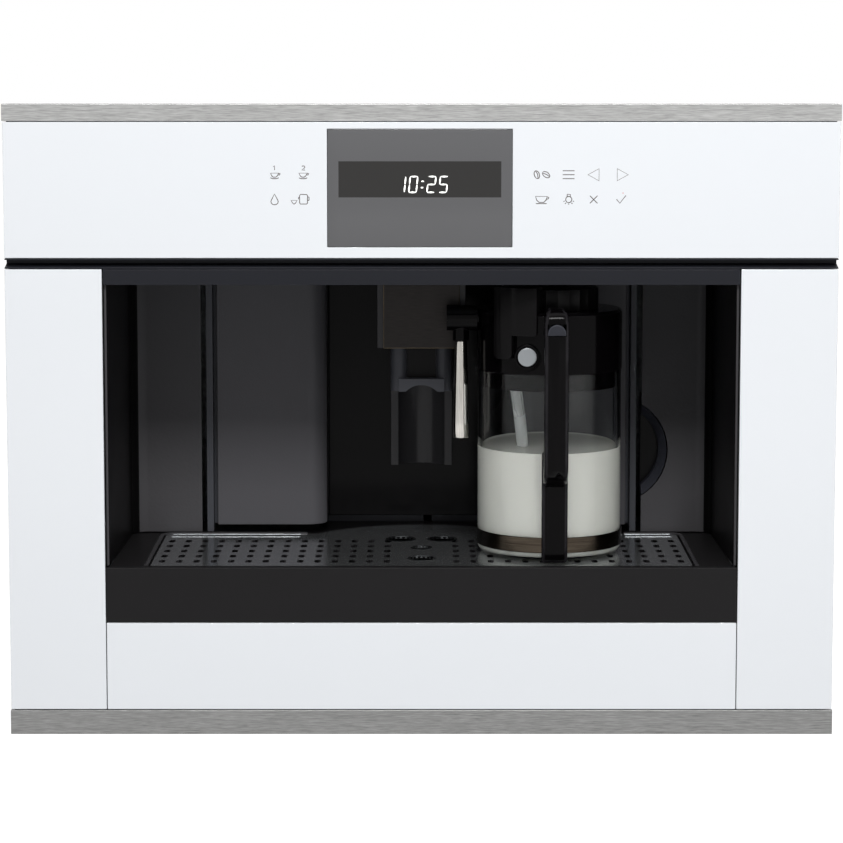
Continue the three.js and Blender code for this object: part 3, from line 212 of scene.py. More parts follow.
grainSet = {"broad": 0.22, "limits": (0.3, 0.7), "swirlShare": 0.45}
wearSet = {"speckEdge": (0.10, 0.03), "patches": 60.0, "patchEdge": (0.60, 0.72), "rubAndGlintPatches": 70.0,
           "wipeTwist": 0.6}


def brushedGrainGroup():
    # long scratches along one axis, fine ones over broad ones
    group, given, out = newGroup("brushedGrain", {"Fineness": 900.0, "Streak": 0.5}, ["Shade", "Height"])
    fine = noise(group, given["Vector"], given["Fineness"], 2.0, 0.6)
    less = maths(group, "MULTIPLY", given["Fineness"], grainSet["broad"])
    broad = noise(group, given["Vector"], less, 1.0)
    streaks = mixed(group, given["Streak"], fine, broad)
    feed(group, spread(group, streaks, 0, 1, *grainSet["limits"]), out["Shade"])
    feed(group, fine, out["Height"])
    return group


def wearAndEdgeGlintGroup():
    # broad wipe marks, small dust specks in sparse patches, and rubbed outer edges, whose lighter tone is
    # partly wear and partly a painted highlight
    group, given, out = newGroup("wearAndEdgeGlint", {"Wipe Scale": 9.0, "Speck Scale": 700.0},
                                 ["Wipe", "Speck", "Edge"])
    speck = cells(group, given["Vector"], given["Speck Scale"], "F1")["Distance"]
    sparse = noise(group, given["Vector"], wearSet["patches"], 1.0)
    crest = addNode(group, "ShaderNodeAttribute", attribute_name="rubbedAndGlint").outputs["Fac"]
    patchy = noise(group, given["Vector"], wearSet["rubAndGlintPatches"], 3.0)
    wipe = noise(group, given["Vector"], given["Wipe Scale"], 4.0, 0.55, wearSet["wipeTwist"])
    feed(group, wipe, out["Wipe"])
    feed(group, maths(group, "MULTIPLY", spread(group, speck, 0, 1, *wearSet["speckEdge"]),
                      spread(group, sparse, 0, 1, *wearSet["patchEdge"])), out["Speck"])
    # painted highlight: the edge crests, in patches, partly wear and partly a painted edge glint
    feed(group, maths(group, "MULTIPLY", crest, patchy), out["Edge"])
    return group


def mouldGrainGroup():
    # the fine leathery grain of an eroded mould
    group, given, out = newGroup("mouldGrain", {"Grain Scale": 500.0}, ["Height"])
    leather = cells(group, given["Vector"], given["Grain Scale"], "SMOOTH_F1")["Distance"]
    swirl = noise(group, given["Vector"], given["Grain Scale"], 3.0, 0.6)
    feed(group, mixed(group, grainSet["swirlShare"], leather, swirl), out["Height"])
    return group


brushedGrain = brushedGrainGroup()
wearAndEdgeGlint = wearAndEdgeGlintGroup()
mouldGrain = mouldGrainGroup()


def addGroup(tree, group, vector, values):
    node = tree.nodes.new("ShaderNodeGroup")
    node.node_tree = group
    for label, value in {"Vector": vector, **values}.items():
        feed(tree, value, node.inputs[label])
    return node.outputs


def objectVector(tree, stretch=(1, 1, 1)):
    place = addNode(tree, "ShaderNodeTexCoord").outputs["Object"]
    return addNode(tree, "ShaderNodeMapping", {"Vector": place, "Scale": stretch}).outputs["Vector"]


def bumped(tree, shader, height, strength, distance):
    bump = addNode(tree, "ShaderNodeBump", {"Strength": strength, "Distance": distance, "Height": height})
    feed(tree, bump.outputs["Normal"], shader.inputs["Normal"])


def dressed(tree, shader, colour, wipe, rough):
    # a colour and a gloss that changes with the wipe marks
    feed(tree, colour, shader.inputs["Base Color"])
    feed(tree, spread(tree, wipe, *rough), shader.inputs["Roughness"])


wipeScales = {"moulded": 9.0, "brushed": 7.0, "sheet": 5.0, "clear": 12.0, "board": 20.0}
bumpDepths = {"moulded": 0.0002, "brushed": 0.0001, "sheet": 0.001, "board": 0.0002}


def mouldedFinish(name, look):
    # plastic, lacquer or painted glass: wipe marks in its gloss, dust, rubbed edges in a lighter tone that is
    # partly a painted highlight, and a mould grain
    material, tree, shader = bareMaterial(name)
    vector = objectVector(tree)
    wear = addGroup(tree, wearAndEdgeGlint, vector, {"Wipe Scale": look.get("wipeScale", wipeScales["moulded"])})
    dusty = blendTones(tree, maths(tree, "MULTIPLY", wear["Speck"], look["dust"]), tone(look["colour"]),
                       tone(look.get("dustTone", "9a9894")))
    # painted highlight: the rounded edge crests take the lighter rub tone, partly wear and partly a painted
    # edge glint
    wornAndGlinting = blendTones(tree, maths(tree, "MULTIPLY", wear["Edge"], look.get("rub", 0.2)), dusty,
                      tone(look.get("rubAndGlintTone", look["colour"])))
    dressed(tree, shader, wornAndGlinting, wear["Wipe"], look["rough"])
    shader.inputs["Metallic"].default_value = look.get("metal", 0)
    shader.inputs["Specular IOR Level"].default_value = look.get("specular", 0.5)
    if "grain" in look:
        grain = addGroup(tree, mouldGrain, vector, {"Grain Scale": look["grain"]})
        bumped(tree, shader, grain["Height"], look["grainStrength"], bumpDepths["moulded"])
    return material


def brushedFinish(name, look):
    # metal with its scratches along one axis
    material, tree, shader = bareMaterial(name)
    grain = addGroup(tree, brushedGrain, objectVector(tree, look["stretch"]),
                     {"Fineness": look["fineness"], "Streak": look["streak"]})
    wear = addGroup(tree, wearAndEdgeGlint, objectVector(tree), {"Wipe Scale": wipeScales["brushed"]})
    brushed = blendTones(tree, grain["Shade"], tone(look["dark"]), tone(look["light"]))
    # painted highlight: the rounded edge crests take a lighter tone, partly wear and partly a painted edge
    # glint
    rubbedAndGlint = blendTones(tree, maths(tree, "MULTIPLY", wear["Edge"], look.get("rub", 0.3)), brushed,
                        tone(look.get("rubAndGlintTone", "e8e8e6")))
    dressed(tree, shader, rubbedAndGlint, wear["Wipe"], look["rough"])
    shader.inputs["Metallic"].default_value = look.get("metal", 1)
    bumped(tree, shader, grain["Height"], look.get("grainStrength", 0.2), bumpDepths["brushed"])
    return material


def sheetFinish(name, look):
    # galvanised sheet with its crystal flakes
    material, tree, shader = bareMaterial(name)
    vector = objectVector(tree)
    flakes = cells(tree, vector, look["flakes"], "F1")["Color"]
    grey = addNode(tree, "ShaderNodeSeparateColor", {0: flakes}).outputs
    wear = addGroup(tree, wearAndEdgeGlint, vector, {"Wipe Scale": wipeScales["sheet"]})
    sheet = blendTones(tree, grey[0], tone(look["dark"]), tone(look["light"]))
    dusty = blendTones(tree, maths(tree, "MULTIPLY", wear["Speck"], look["dust"]), sheet,
                       tone(look["dustTone"]))
    dressed(tree, shader, dusty, grey[1], look["rough"])
    shader.inputs["Metallic"].default_value = look["metal"]
    bumped(tree, shader, wear["Wipe"], look["dents"], bumpDepths["sheet"])
    return material


def clearFinish(name, look):
    material, tree, shader = bareMaterial(name)
    wear = addGroup(tree, wearAndEdgeGlint, objectVector(tree), {"Wipe Scale": wipeScales["clear"]})
    dressed(tree, shader, tone(look["colour"]), wear["Wipe"], look["rough"])
    shader.inputs["Transmission Weight"].default_value = look["clear"]
    shader.inputs["IOR"].default_value = look["ior"]
    return material


def boardFinish(name, look):
    # a circuit board: copper tracks under green lacquer
    material, tree, shader = bareMaterial(name)
    vector = objectVector(tree)
    tracks = addNode(tree, "ShaderNodeTexBrick", {
        "Vector": vector, "Scale": look["scale"], "Color1": tone(look["colour"]),
        "Color2": tone(look["second"]),
        "Mortar": tone(look["track"])}).outputs
    wear = addGroup(tree, wearAndEdgeGlint, vector, {"Wipe Scale": wipeScales["board"]})
    dressed(tree, shader, tracks["Color"], wear["Wipe"], look["rough"])
    bumped(tree, shader, tracks["Fac"], look["relief"], bumpDepths["board"])
    return material


# the rub share and rub tone lighten the rounded edge crests: partly wear, partly a painted highlight
mouldedLooks = {
    "whiteGlass": {"colour": "e9ecf0", "rough": (0.05, 0.09), "dust": 0.05, "dustTone": "c8cacc",
                   "rub": 0.25, "rubAndGlintTone": "cfe0dc", "specular": 0.4, "wipeScale": 4.0},
    "greyPrint": {"colour": "5e5e60", "rough": (0.08, 0.13), "dust": 0.1, "rub": 0.1, "specular": 0.3},
    "displayWindow": {"colour": "2a2928", "rough": (0.07, 0.11), "dust": 0.1, "specular": 0.3},
    "touchPrint": {"colour": "544b47", "rough": (0.25, 0.35), "dust": 0.0, "rub": 0.0, "specular": 0.2},
    "displayLight": {"colour": "fdfdfa", "rough": (0.3, 0.4), "dust": 0.0, "rub": 0.0},
    "wallPlastic": {"colour": "454446", "rough": (0.34, 0.42), "dust": 0.1, "specular": 0.06,
                    "grain": 430.0, "grainStrength": 0.75, "rub": 0.15, "rubAndGlintTone": "5a585a"},
    "doorPlastic": {"colour": "4b4a4d", "rough": (0.32, 0.40), "dust": 0.1, "specular": 0.10,
                    "grain": 900.0, "grainStrength": 0.45, "rub": 0.15, "rubAndGlintTone": "5a585a"},
    # painted shade: the liners' side faces and the pull's recess, made near black where little light reaches
    "sideGloss": {"colour": "0a090a", "rough": (0.25, 0.35), "dust": 0.1, "specular": 0.06,
                  "grain": 260.0, "grainStrength": 0.15, "rub": 0.2, "rubAndGlintTone": "2a282b"},
    "columnGloss": {"colour": "353436", "rough": (0.16, 0.24), "dust": 0.1, "specular": 0.12,
                    "rub": 0.5, "rubAndGlintTone": "4a484b"},
    "pullSlate": {"colour": "2c2d33", "rough": (0.36, 0.46), "dust": 0.1, "specular": 0.12,
                  "grain": 1400.0, "grainStrength": 0.10, "rub": 0.5, "rubAndGlintTone": "50525a"},
    # painted shade: dark discs in the vent slots stand for the shade inside them
    "ventPaintedShade": {"colour": "0b0b0c", "rough": (0.6, 0.8), "dust": 0.3, "specular": 0.1, "rub": 0.0},
    "readyLight": {"colour": "b8231c", "rough": (0.3, 0.4), "dust": 0.0, "rub": 0.0},
    "recessGloss": {"colour": "0c0b0c", "rough": (0.10, 0.18), "dust": 0.1, "specular": 0.05,
                    "rub": 0.2, "rubAndGlintTone": "2a282b"},
    "blackGloss": {"colour": "050405", "rough": (0.08, 0.15), "dust": 0.1, "specular": 0.055,
                   "rub": 0.6, "rubAndGlintTone": "413f43"},
    "blackSatin": {"colour": "0c0b0c", "rough": (0.30, 0.42), "dust": 0.15, "specular": 0.07,
                   "grain": 1600.0, "grainStrength": 0.12, "rub": 0.8, "rubAndGlintTone": "4c4a4d"},
    "bandSatin": {"colour": "171617", "rough": (0.42, 0.52), "dust": 0.15, "specular": 0.12,
                  "grain": 2200.0, "grainStrength": 0.10, "rub": 0.4, "rubAndGlintTone": "3a393a"},
    "slateSatin": {"colour": "1e1f24", "rough": (0.36, 0.46), "dust": 0.2, "specular": 0.12,
                   "grain": 2200.0, "grainStrength": 0.10, "rub": 0.6, "rubAndGlintTone": "4b4d56"},
    "greyPlastic": {"colour": "3c3d42", "rough": (0.38, 0.48), "dust": 0.1, "specular": 0.16,
                    "grain": 1400.0, "grainStrength": 0.12, "rub": 0.6, "rubAndGlintTone": "5a5c60"},
    "silverButton": {"colour": "8c9093", "rough": (0.22, 0.32), "dust": 0.05, "metal": 0.3,
                     "rub": 0.2, "rubAndGlintTone": "f4f4f2", "grain": 3000.0, "grainStrength": 0.05},
    "silicone": {"colour": "d9d3c8", "rough": (0.55, 0.7), "dust": 0.4, "dustTone": "8f8a80",
                 "grain": 900.0, "grainStrength": 0.2},
    "milk": {"colour": "bfbfb8", "rough": (0.16, 0.22), "dust": 0.0, "rub": 0.0, "specular": 0.3},
}
# the rub share and rub tone lighten the rounded edge crests: partly wear, partly a painted highlight
brushedLooks = {
    "frontSteel": {"dark": "8a8a89", "light": "bfbfbe", "stretch": (0.03, 1, 1), "fineness": 3600.0,
                   "streak": 0.12, "rough": (0.30, 0.38), "grainStrength": 0.08},
    "plateSteel": {"dark": "1b1a1a", "light": "272524", "stretch": (0.02, 1, 1), "fineness": 5200.0,
                   "streak": 0.05, "rough": (0.30, 0.40), "rub": 1.6, "rubAndGlintTone": "8a7a60"},
    "bandSteel": {"dark": "211b16", "light": "4c453c", "stretch": (0.1, 0.1, 6), "fineness": 900.0,
                  "streak": 0.4, "rough": (0.16, 0.24)},
    "gridSteel": {"dark": "c0c3c5", "light": "dadddf", "stretch": (0.06, 1, 1), "fineness": 1200.0,
                  "streak": 0.5, "rough": (0.14, 0.20), "grainStrength": 0.06, "metal": 0.93},
    "rimSteel": {"dark": "6c6f71", "light": "85888a", "stretch": (1, 1, 1), "fineness": 1200.0,
                 "streak": 0.5, "rough": (0.24, 0.32), "grainStrength": 0.05},
    # painted shade: the top strip's steel, made darker for the bottom strip
    "lowerSteel": {"dark": "646463", "light": "8e8e8d", "stretch": (0.03, 1, 1), "fineness": 3600.0,
                   "streak": 0.12, "rough": (0.30, 0.38), "grainStrength": 0.08},
    "chrome": {"dark": "a09d98", "light": "c2bfb9", "stretch": (1, 1, 0.05), "fineness": 1800.0,
               "streak": 0.4, "rough": (0.09, 0.15), "grainStrength": 0.03},
    "machinedSteel": {"dark": "8e9092", "light": "b2b4b6", "stretch": (1, 1, 12), "fineness": 400.0,
                      "streak": 0.4, "rough": (0.25, 0.38), "grainStrength": 0.2},
    "brass": {"dark": "9c8146", "light": "c6a862", "stretch": (1, 1, 10), "fineness": 420.0,
              "streak": 0.4, "rough": (0.22, 0.36), "grainStrength": 0.2},
}
zincLook = {"dark": "8f9598", "light": "a1a7aa", "flakes": 240.0, "rough": (0.34, 0.52), "metal": 0.9,
            "dust": 0.3, "dustTone": "6d6a64", "dents": 0.12}
clearLooks = {
    "jugGlass": {"colour": "f6f8f8", "rough": (0.0, 0.012), "clear": 1.0, "ior": 1.20},
    "clearPlastic": {"colour": "dde2e2", "rough": (0.16, 0.26), "clear": 0.85, "ior": 1.46},
    "milkyTube": {"colour": "eef0ee", "rough": (0.22, 0.34), "clear": 0.72, "ior": 1.4},
}
boardLook = {"colour": "2f5a3c", "second": "2a5136", "track": "7d7a4a", "scale": 160.0,
             "relief": 0.2, "rough": (0.35, 0.6)}
glowSet = {"displayLight": ("fffffb", 0.9), "readyLight": ("ff3322", 0.15)}

finishes = {name: mouldedFinish(name, look) for name, look in mouldedLooks.items()}
finishes.update({name: brushedFinish(name, look) for name, look in brushedLooks.items()})
finishes.update({name: clearFinish(name, look) for name, look in clearLooks.items()})
finishes["zincSheet"] = sheetFinish("zincSheet", zincLook)
finishes["boardGreen"] = boardFinish("boardGreen", boardLook)
for name, (colour, power) in glowSet.items():
    shader = finishes[name].node_tree.nodes["Principled BSDF"]
    shader.inputs["Emission Color"].default_value = tone(colour)
    shader.inputs["Emission Strength"].default_value = power
print("finishes ready:", len(finishes))


def roundEdges(bm, edges, radius, segments=2, clamp=True):
    # the crest of each rounded edge is marked, and the finishes read the mark for worn edges that also carry
    # a painted highlight
    rubbedAndGlint = bm.verts.layers.float.get("rubbedAndGlint") or bm.verts.layers.float.new("rubbedAndGlint")
    made = bmesh.ops.bevel(bm, geom=list(edges), offset=radius, offset_type="OFFSET", segments=segments,
                           profile=0.5, affect="EDGES", material=-1, clamp_overlap=clamp)
    strips = set(made["faces"])
    for vert in made["verts"]:
        if all(face in strips for face in vert.link_faces):
            vert[rubbedAndGlint] = 1.0


def sharpEdges(bm, angle):
    limit = math.radians(angle)
    return [e for e in bm.edges if len(e.link_faces) == 2 and e.calc_face_angle(0) > limit]


def finishPiece(name, bm, finish, body, stands=(), more=(), smooth=32):
    # the mesh becomes an object with its finish, its body and the nodes that it stands for
    mesh = bpy.data.meshes.new(name)
    bm.to_mesh(mesh)
    bm.free()
    for material in (finish, *more):
        mesh.materials.append(finishes[material])
    mesh.polygons.foreach_set("use_smooth", [True] * len(mesh.polygons))
    mesh.set_sharp_from_angle(angle=math.radians(smooth))
    piece = bpy.data.objects.new(name, mesh)
    bpy.context.scene.collection.objects.link(piece)
    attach(piece, body)
    if stands:
        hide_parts(*stands)
    return piece


def evenNormals(piece):
    # wide flat faces keep their own normal, so only the rounded edges shade smoothly
    even = piece.modifiers.new("even", "WEIGHTED_NORMAL")
    even.keep_sharp = True
    shape = piece.evaluated_get(bpy.context.evaluated_depsgraph_get())
    normals = [tuple(corner.vector) for corner in shape.to_mesh().corner_normals]
    shape.to_mesh_clear()
    piece.modifiers.clear()
    piece.data.normals_split_custom_set(normals)


nodeSet = {"weld": 2e-6, "flat": 0.5, "sharp": 28, "smooth": 50}  # metres, then degrees


def copyOfNode(node):
    bm = bmesh.new()
    bm.from_mesh(frame["nodes"][node].data)
    bmesh.ops.remove_doubles(bm, verts=bm.verts, dist=nodeSet["weld"])
    flat = math.radians(nodeSet["flat"])
    bmesh.ops.dissolve_limit(bm, angle_limit=flat, verts=bm.verts, edges=bm.edges)
    return bm


def pieceName(node):
    words = node.split("_")
    return words[0] + "".join(word.capitalize() for word in words[1:])


def softened(node, finish, edgeRadius, second=None, chosen=None):
    # the node's own shape with its hard edges rounded; chosen faces may have a second finish
    bm = copyOfNode(node)
    if second:
        for face in bm.faces:
            face.material_index = int(chosen(face.calc_center_median(), face.normal))
    roundEdges(bm, sharpEdges(bm, nodeSet["sharp"]), edgeRadius * mm)
    more = [second] if second else []
    piece = finishPiece(pieceName(node), bm, finish, bodyOf[node], [node], more, nodeSet["smooth"])
    evenNormals(piece)


def extruded(bm, faces, way):
    out = bmesh.ops.extrude_face_region(bm, geom=faces)["geom"]
    bmesh.ops.translate(bm, vec=way, verts=[v for v in out if isinstance(v, bmesh.types.BMVert)])


def drawnOut(bm, outline, way):
    # a closed outline drawn out along way
    extruded(bm, [bm.faces.new([bm.verts.new(point) for point in outline])], way)
    bmesh.ops.recalc_face_normals(bm, faces=bm.faces)


def cutAlong(bm, places, **options):
    for point, normal in places:
        bmesh.ops.bisect_plane(bm, geom=bm.verts[:] + bm.edges[:] + bm.faces[:],
                               plane_co=point, plane_no=normal, dist=1e-7, **options)


def closeHoles(bm):
    bmesh.ops.holes_fill(bm, edges=[e for e in bm.edges if e.is_boundary])
    bmesh.ops.recalc_face_normals(bm, faces=bm.faces)


def pulledApart(verts, axis, reach):
    # the halves of a shape on either side of its middle move apart along an axis
    for vert in verts:
        if abs(vert.co[axis]) > tiny:
            vert.co[axis] += math.copysign(reach, vert.co[axis])


def onGlass(bm, x, z, scale=(1, 1, 1)):
    # a flat shape drawn in X and Y stands on the front glass
    place = Matrix.Translation((x * mm, glassFace, z * mm)) @ Matrix.Rotation(math.radians(90), 4, "X")
    bmesh.ops.transform(bm, matrix=place @ Matrix.Diagonal((*scale, 1)), verts=bm.verts)


def addShape(bm, shape, places, index=0):
    # copies of a finished shape, each at its place
    mesh = bpy.data.meshes.new("copied")
    shape.to_mesh(mesh)
    shape.free()
    for place in places:
        verts, faces = len(bm.verts), len(bm.faces)
        bm.from_mesh(mesh)
        bm.verts.ensure_lookup_table()
        bm.faces.ensure_lookup_table()
        bmesh.ops.transform(bm, matrix=place, verts=bm.verts[verts:])
        for face in bm.faces[faces:]:
            face.material_index = index
    bpy.data.meshes.remove(mesh)


def spun(bm, points, centre, axis, steps, closed=True):
    # a line through the points, turned once round the axis through centre
    verts = [bm.verts.new(point) for point in points]
    edges = [bm.edges.new(pair) for pair in zip(verts, verts[1:] + verts[:1] if closed else verts[1:])]
    bmesh.ops.spin(bm, geom=verts + edges, cent=centre, axis=axis, angle=math.tau, steps=steps,
                   use_merge=True, use_duplicate=False)
    bmesh.ops.remove_doubles(bm, verts=bm.verts, dist=tiny)
    bmesh.ops.recalc_face_normals(bm, faces=bm.faces)


def turnedShape(bm, profile, centre, steps, closed=True):
    # a profile of (radius, height) points in millimetres, turned about the vertical through centre
    spun(bm, [(centre[0] + r * mm, centre[1], z * mm) for r, z in profile], (*centre, 0), (0, 0, 1),
         steps, closed)


def turnedAcross(bm, profile, centreX, centreZ, steps):
    # a closed profile of (radius, depth) points, turned about a line that runs front to back
    spun(bm, [((centreX + r) * mm, depth(d), centreZ * mm) for r, d in profile],
         (centreX * mm, 0, centreZ * mm), (0, 1, 0), steps)


def arcPoints(a, b, radius, start, end, steps):
    angles = [math.radians(start + (end - start) * i / steps) for i in range(steps + 1)]
    return [(a + radius * math.cos(t), b + radius * math.sin(t)) for t in angles]


def tubesAlong(name, lines, radius, roundness):
    # tubes of one radius along lines of (points, kind, closed)
    curve = bpy.data.curves.new(name, "CURVE")
    curve.dimensions = "3D"
    curve.bevel_depth, curve.bevel_resolution, curve.resolution_u = radius, roundness, 8
    curve.use_fill_caps = True
    for points, kind, closed in lines:
        line = curve.splines.new(kind)
        line.points.add(len(points) - 1)
        for at, point in zip(line.points, points):
            at.co = (*point, 1)
        line.use_cyclic_u, line.use_endpoint_u = closed, True
        line.order_u = 4
    drawn = bpy.data.objects.new(name + "Line", curve)
    bpy.context.scene.collection.objects.link(drawn)
    shape = drawn.evaluated_get(bpy.context.evaluated_depsgraph_get())
    bm = bmesh.new()
    bm.from_mesh(shape.to_mesh())
    shape.to_mesh_clear()
    bpy.data.objects.remove(drawn)
    return bm


# how far behind the glass the pull's and the door's recess begin, and where the web between the spout's
# outlets is; the liners' side faces, the pull's recess and the web's front take painted shade, the door's
# recess a second finish
shadeAndToneSet = {"pullFrom": 153, "recessHalf": 72.9, "recessFrom": 160, "webHalf": 11, "webFrom": 258,
              "sideways": 0.7, "forwards": 0.9}


# painted shade: faces turned sideways get the near-black finish
def inSideShade(at, way):
    return abs(way.x) > shadeAndToneSet["sideways"]


# painted shade: the pull's recess, behind where it begins, gets it too
def inSideAndPullShade(at, way):
    return inSideShade(at, way) or at.y > depth(shadeAndToneSet["pullFrom"])


def inDoorRecess(at, way):
    return abs(at.x) < shadeAndToneSet["recessHalf"] * mm and at.y > depth(shadeAndToneSet["recessFrom"])


# painted shade: the web's front faces between the outlets get a black finish
def inSpoutWebShade(at, way):
    return (way.y < -shadeAndToneSet["forwards"] and abs(at.x) < shadeAndToneSet["webHalf"] * mm
            and at.z > shadeAndToneSet["webFrom"] * mm)


softEdges = {
    "control_glass": ("whiteGlass", 0.45), "side_glass_left": ("whiteGlass", 0.5),
    "side_glass_right": ("whiteGlass", 0.5), "lower_glass": ("whiteGlass", 0.5),
    "trim_strip_top": ("frontSteel", 0.35), "trim_strip_bottom": ("lowerSteel", 0.35),
    "groove_profile": ("slateSatin", 0.25), "cavity_bar": ("slateSatin", 0.6),
    "fascia_carrier": ("blackSatin", 0.3), "control_board": ("boardGreen", 0.2),
    "housing_shell": ("zincSheet", 0.3), "housing_top": ("zincSheet", 0.3),
    "chassis_deck": ("zincSheet", 0.3), "cavity_ceiling": ("zincSheet", 0.3),
    # painted shade: the liners' second finish on their side faces and in the pull's recess
    "liner_left": ("wallPlastic", 0.8, "sideGloss", inSideShade),
    "liner_right": ("wallPlastic", 0.8, "sideGloss", inSideAndPullShade), "door_sill": ("blackSatin", 0.8),
    "door_panel": ("doorPlastic", 0.8, "recessGloss", inDoorRecess),
    "door_trim_left": ("greyPlastic", 0.7), "door_trim_right": ("greyPlastic", 0.7),
    "spout_housing": ("columnGloss", 0.8), "spout_plate": ("plateSteel", 0.4),
    # painted shade: the black web between the spout's outlets
    "steam_coupler": ("greyPlastic", 0.6), "coffee_spout": ("greyPlastic", 0.6, "blackSatin", inSpoutWebShade),
    "drip_tray": ("bandSatin", 0.5), "jug_lid": ("blackGloss", 0.6), "clean_button": ("silverButton", 0.9),
    "milk_spout_elbow": ("blackGloss", 0.8), "water_tank": ("clearPlastic", 0.8),
    "grounds_container": ("greyPlastic", 0.8), "brew_group_body": ("greyPlastic", 0.8),
    "brew_piston": ("machinedSteel", 0.5), "brew_drive_nut": ("machinedSteel", 0.4),
    "grinder_body": ("blackSatin", 0.8), "grinder_burr": ("machinedSteel", 0.3),
    "grinder_motor": ("machinedSteel", 0.8), "bean_hopper": ("clearPlastic", 0.6),
    "hopper_lid": ("blackSatin", 0.6), "grind_knob": ("greyPlastic", 0.4),
    "coffee_boiler": ("machinedSteel", 1.0), "steam_boiler": ("machinedSteel", 1.0),
    "pressure_hose": ("silicone", 0.3), "water_pump": ("brass", 0.8), "power_board": ("boardGreen", 0.3),
    "mains_inlet": ("blackSatin", 0.5), "rail_outer_left": ("zincSheet", 0.3),
    "rail_outer_right": ("zincSheet", 0.3), "rail_mid_left": ("zincSheet", 0.3),
    "rail_mid_right": ("zincSheet", 0.3),
}
for node, look in softEdges.items():
    softened(node, *look)
print("softened pieces:", len(softEdges))

displaySet = {
    "window": (-58.9, 56.6, 388.8, 414.4),  # left, right, bottom, top, as photographed
    "digitHeight": 11.2, "digitWidth": 5.3, "stroke": 1.15, "slant": 0.10, "digitPitch": 8.5,
    "colonWidth": 4.4, "middle": (0.6, 398.0), "shows": "10:25", "proud": 0.05, "edge": 0.3,
    "pointed": 0.62, "dot": 1.9,  # shares of the stroke
}
litSegments = {  # a b c d e f g, clockwise from the top
    "0": "abcdef", "1": "bc", "2": "abged", "5": "afgcd",
}


def displayPanel():
    low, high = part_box("display_panel")
    bm = bmesh.new()
    bmesh.ops.create_cube(bm, size=1)
    bmesh.ops.scale(bm, vec=high - low, verts=bm.verts)
    bmesh.ops.translate(bm, vec=(low + high) / 2, verts=bm.verts)
    left, right, bottom, top = (v * mm for v in displaySet["window"])
    cutAlong(bm, [((left, 0, 0), (1, 0, 0)), ((right, 0, 0), (1, 0, 0)),
                  ((0, 0, bottom), (0, 0, 1)), ((0, 0, top), (0, 0, 1))])
    for face in bm.faces:
        centre = face.calc_center_median()
        inside = left < centre.x < right and bottom < centre.z < top
        face.material_index = int(inside and abs(centre.y - low.y) < tiny)
    roundEdges(bm, sharpEdges(bm, 60), displaySet["edge"] * mm)
    finishPiece("displayPanel", bm, "greyPrint", "machine", ["display_panel"], ["displayWindow"])


def displayDigits():
    # seven-segment figures, each bar a stretched hexagon
    d = displaySet
    w, h, s = d["digitWidth"], d["digitHeight"], d["stroke"]
    bars = {"a": (0, h / 2, w, 0), "d": (0, -h / 2, w, 0), "g": (0, 0, w, 0),
            "b": (w / 2, h / 4, h / 2, 90), "c": (w / 2, -h / 4, h / 2, 90),
            "f": (-w / 2, h / 4, h / 2, 90), "e": (-w / 2, -h / 4, h / 2, 90)}
    bm = bmesh.new()

    def bar(x, z, length, turn, offset):
        made = bmesh.ops.create_circle(bm, cap_ends=True, segments=6, radius=s / 2)["verts"]
        pulledApart(made, 0, length / 2 - s * d["pointed"])
        place = Matrix.Translation((x + offset, z, 0)) @ Matrix.Rotation(math.radians(turn), 4, "Z")
        bmesh.ops.transform(bm, matrix=place, verts=made)

    wide = sum(d["colonWidth"] if c == ":" else d["digitPitch"] for c in d["shows"])
    at = -wide / 2
    for mark in d["shows"]:
        step = d["colonWidth"] if mark == ":" else d["digitPitch"]
        if mark == ":":
            bar(0, h / 5, s * d["dot"], 0, at + step / 2)
            bar(0, -h / 5, s * d["dot"], 0, at + step / 2)
        else:
            for name in litSegments[mark]:
                bar(*bars[name], at + step / 2)
        at += step
    for vert in bm.verts:
        vert.co.x += vert.co.y * d["slant"]
    extruded(bm, bm.faces[:], (0, 0, d["proud"]))
    onGlass(bm, *d["middle"], (mm, mm, mm))
    bmesh.ops.recalc_face_normals(bm, faces=bm.faces)
    finishPiece("displayDigits", bm, "displayLight", "machine")


def oval(x, z, wide, high, turn=0, count=14):
    t = math.radians(turn)
    ring = [(wide * math.cos(i * math.tau / count), high * math.sin(i * math.tau / count))
            for i in range(count)]
    return [(x + a * math.cos(t) - b * math.sin(t), z + a * math.sin(t) + b * math.cos(t))
            for a, b in ring]


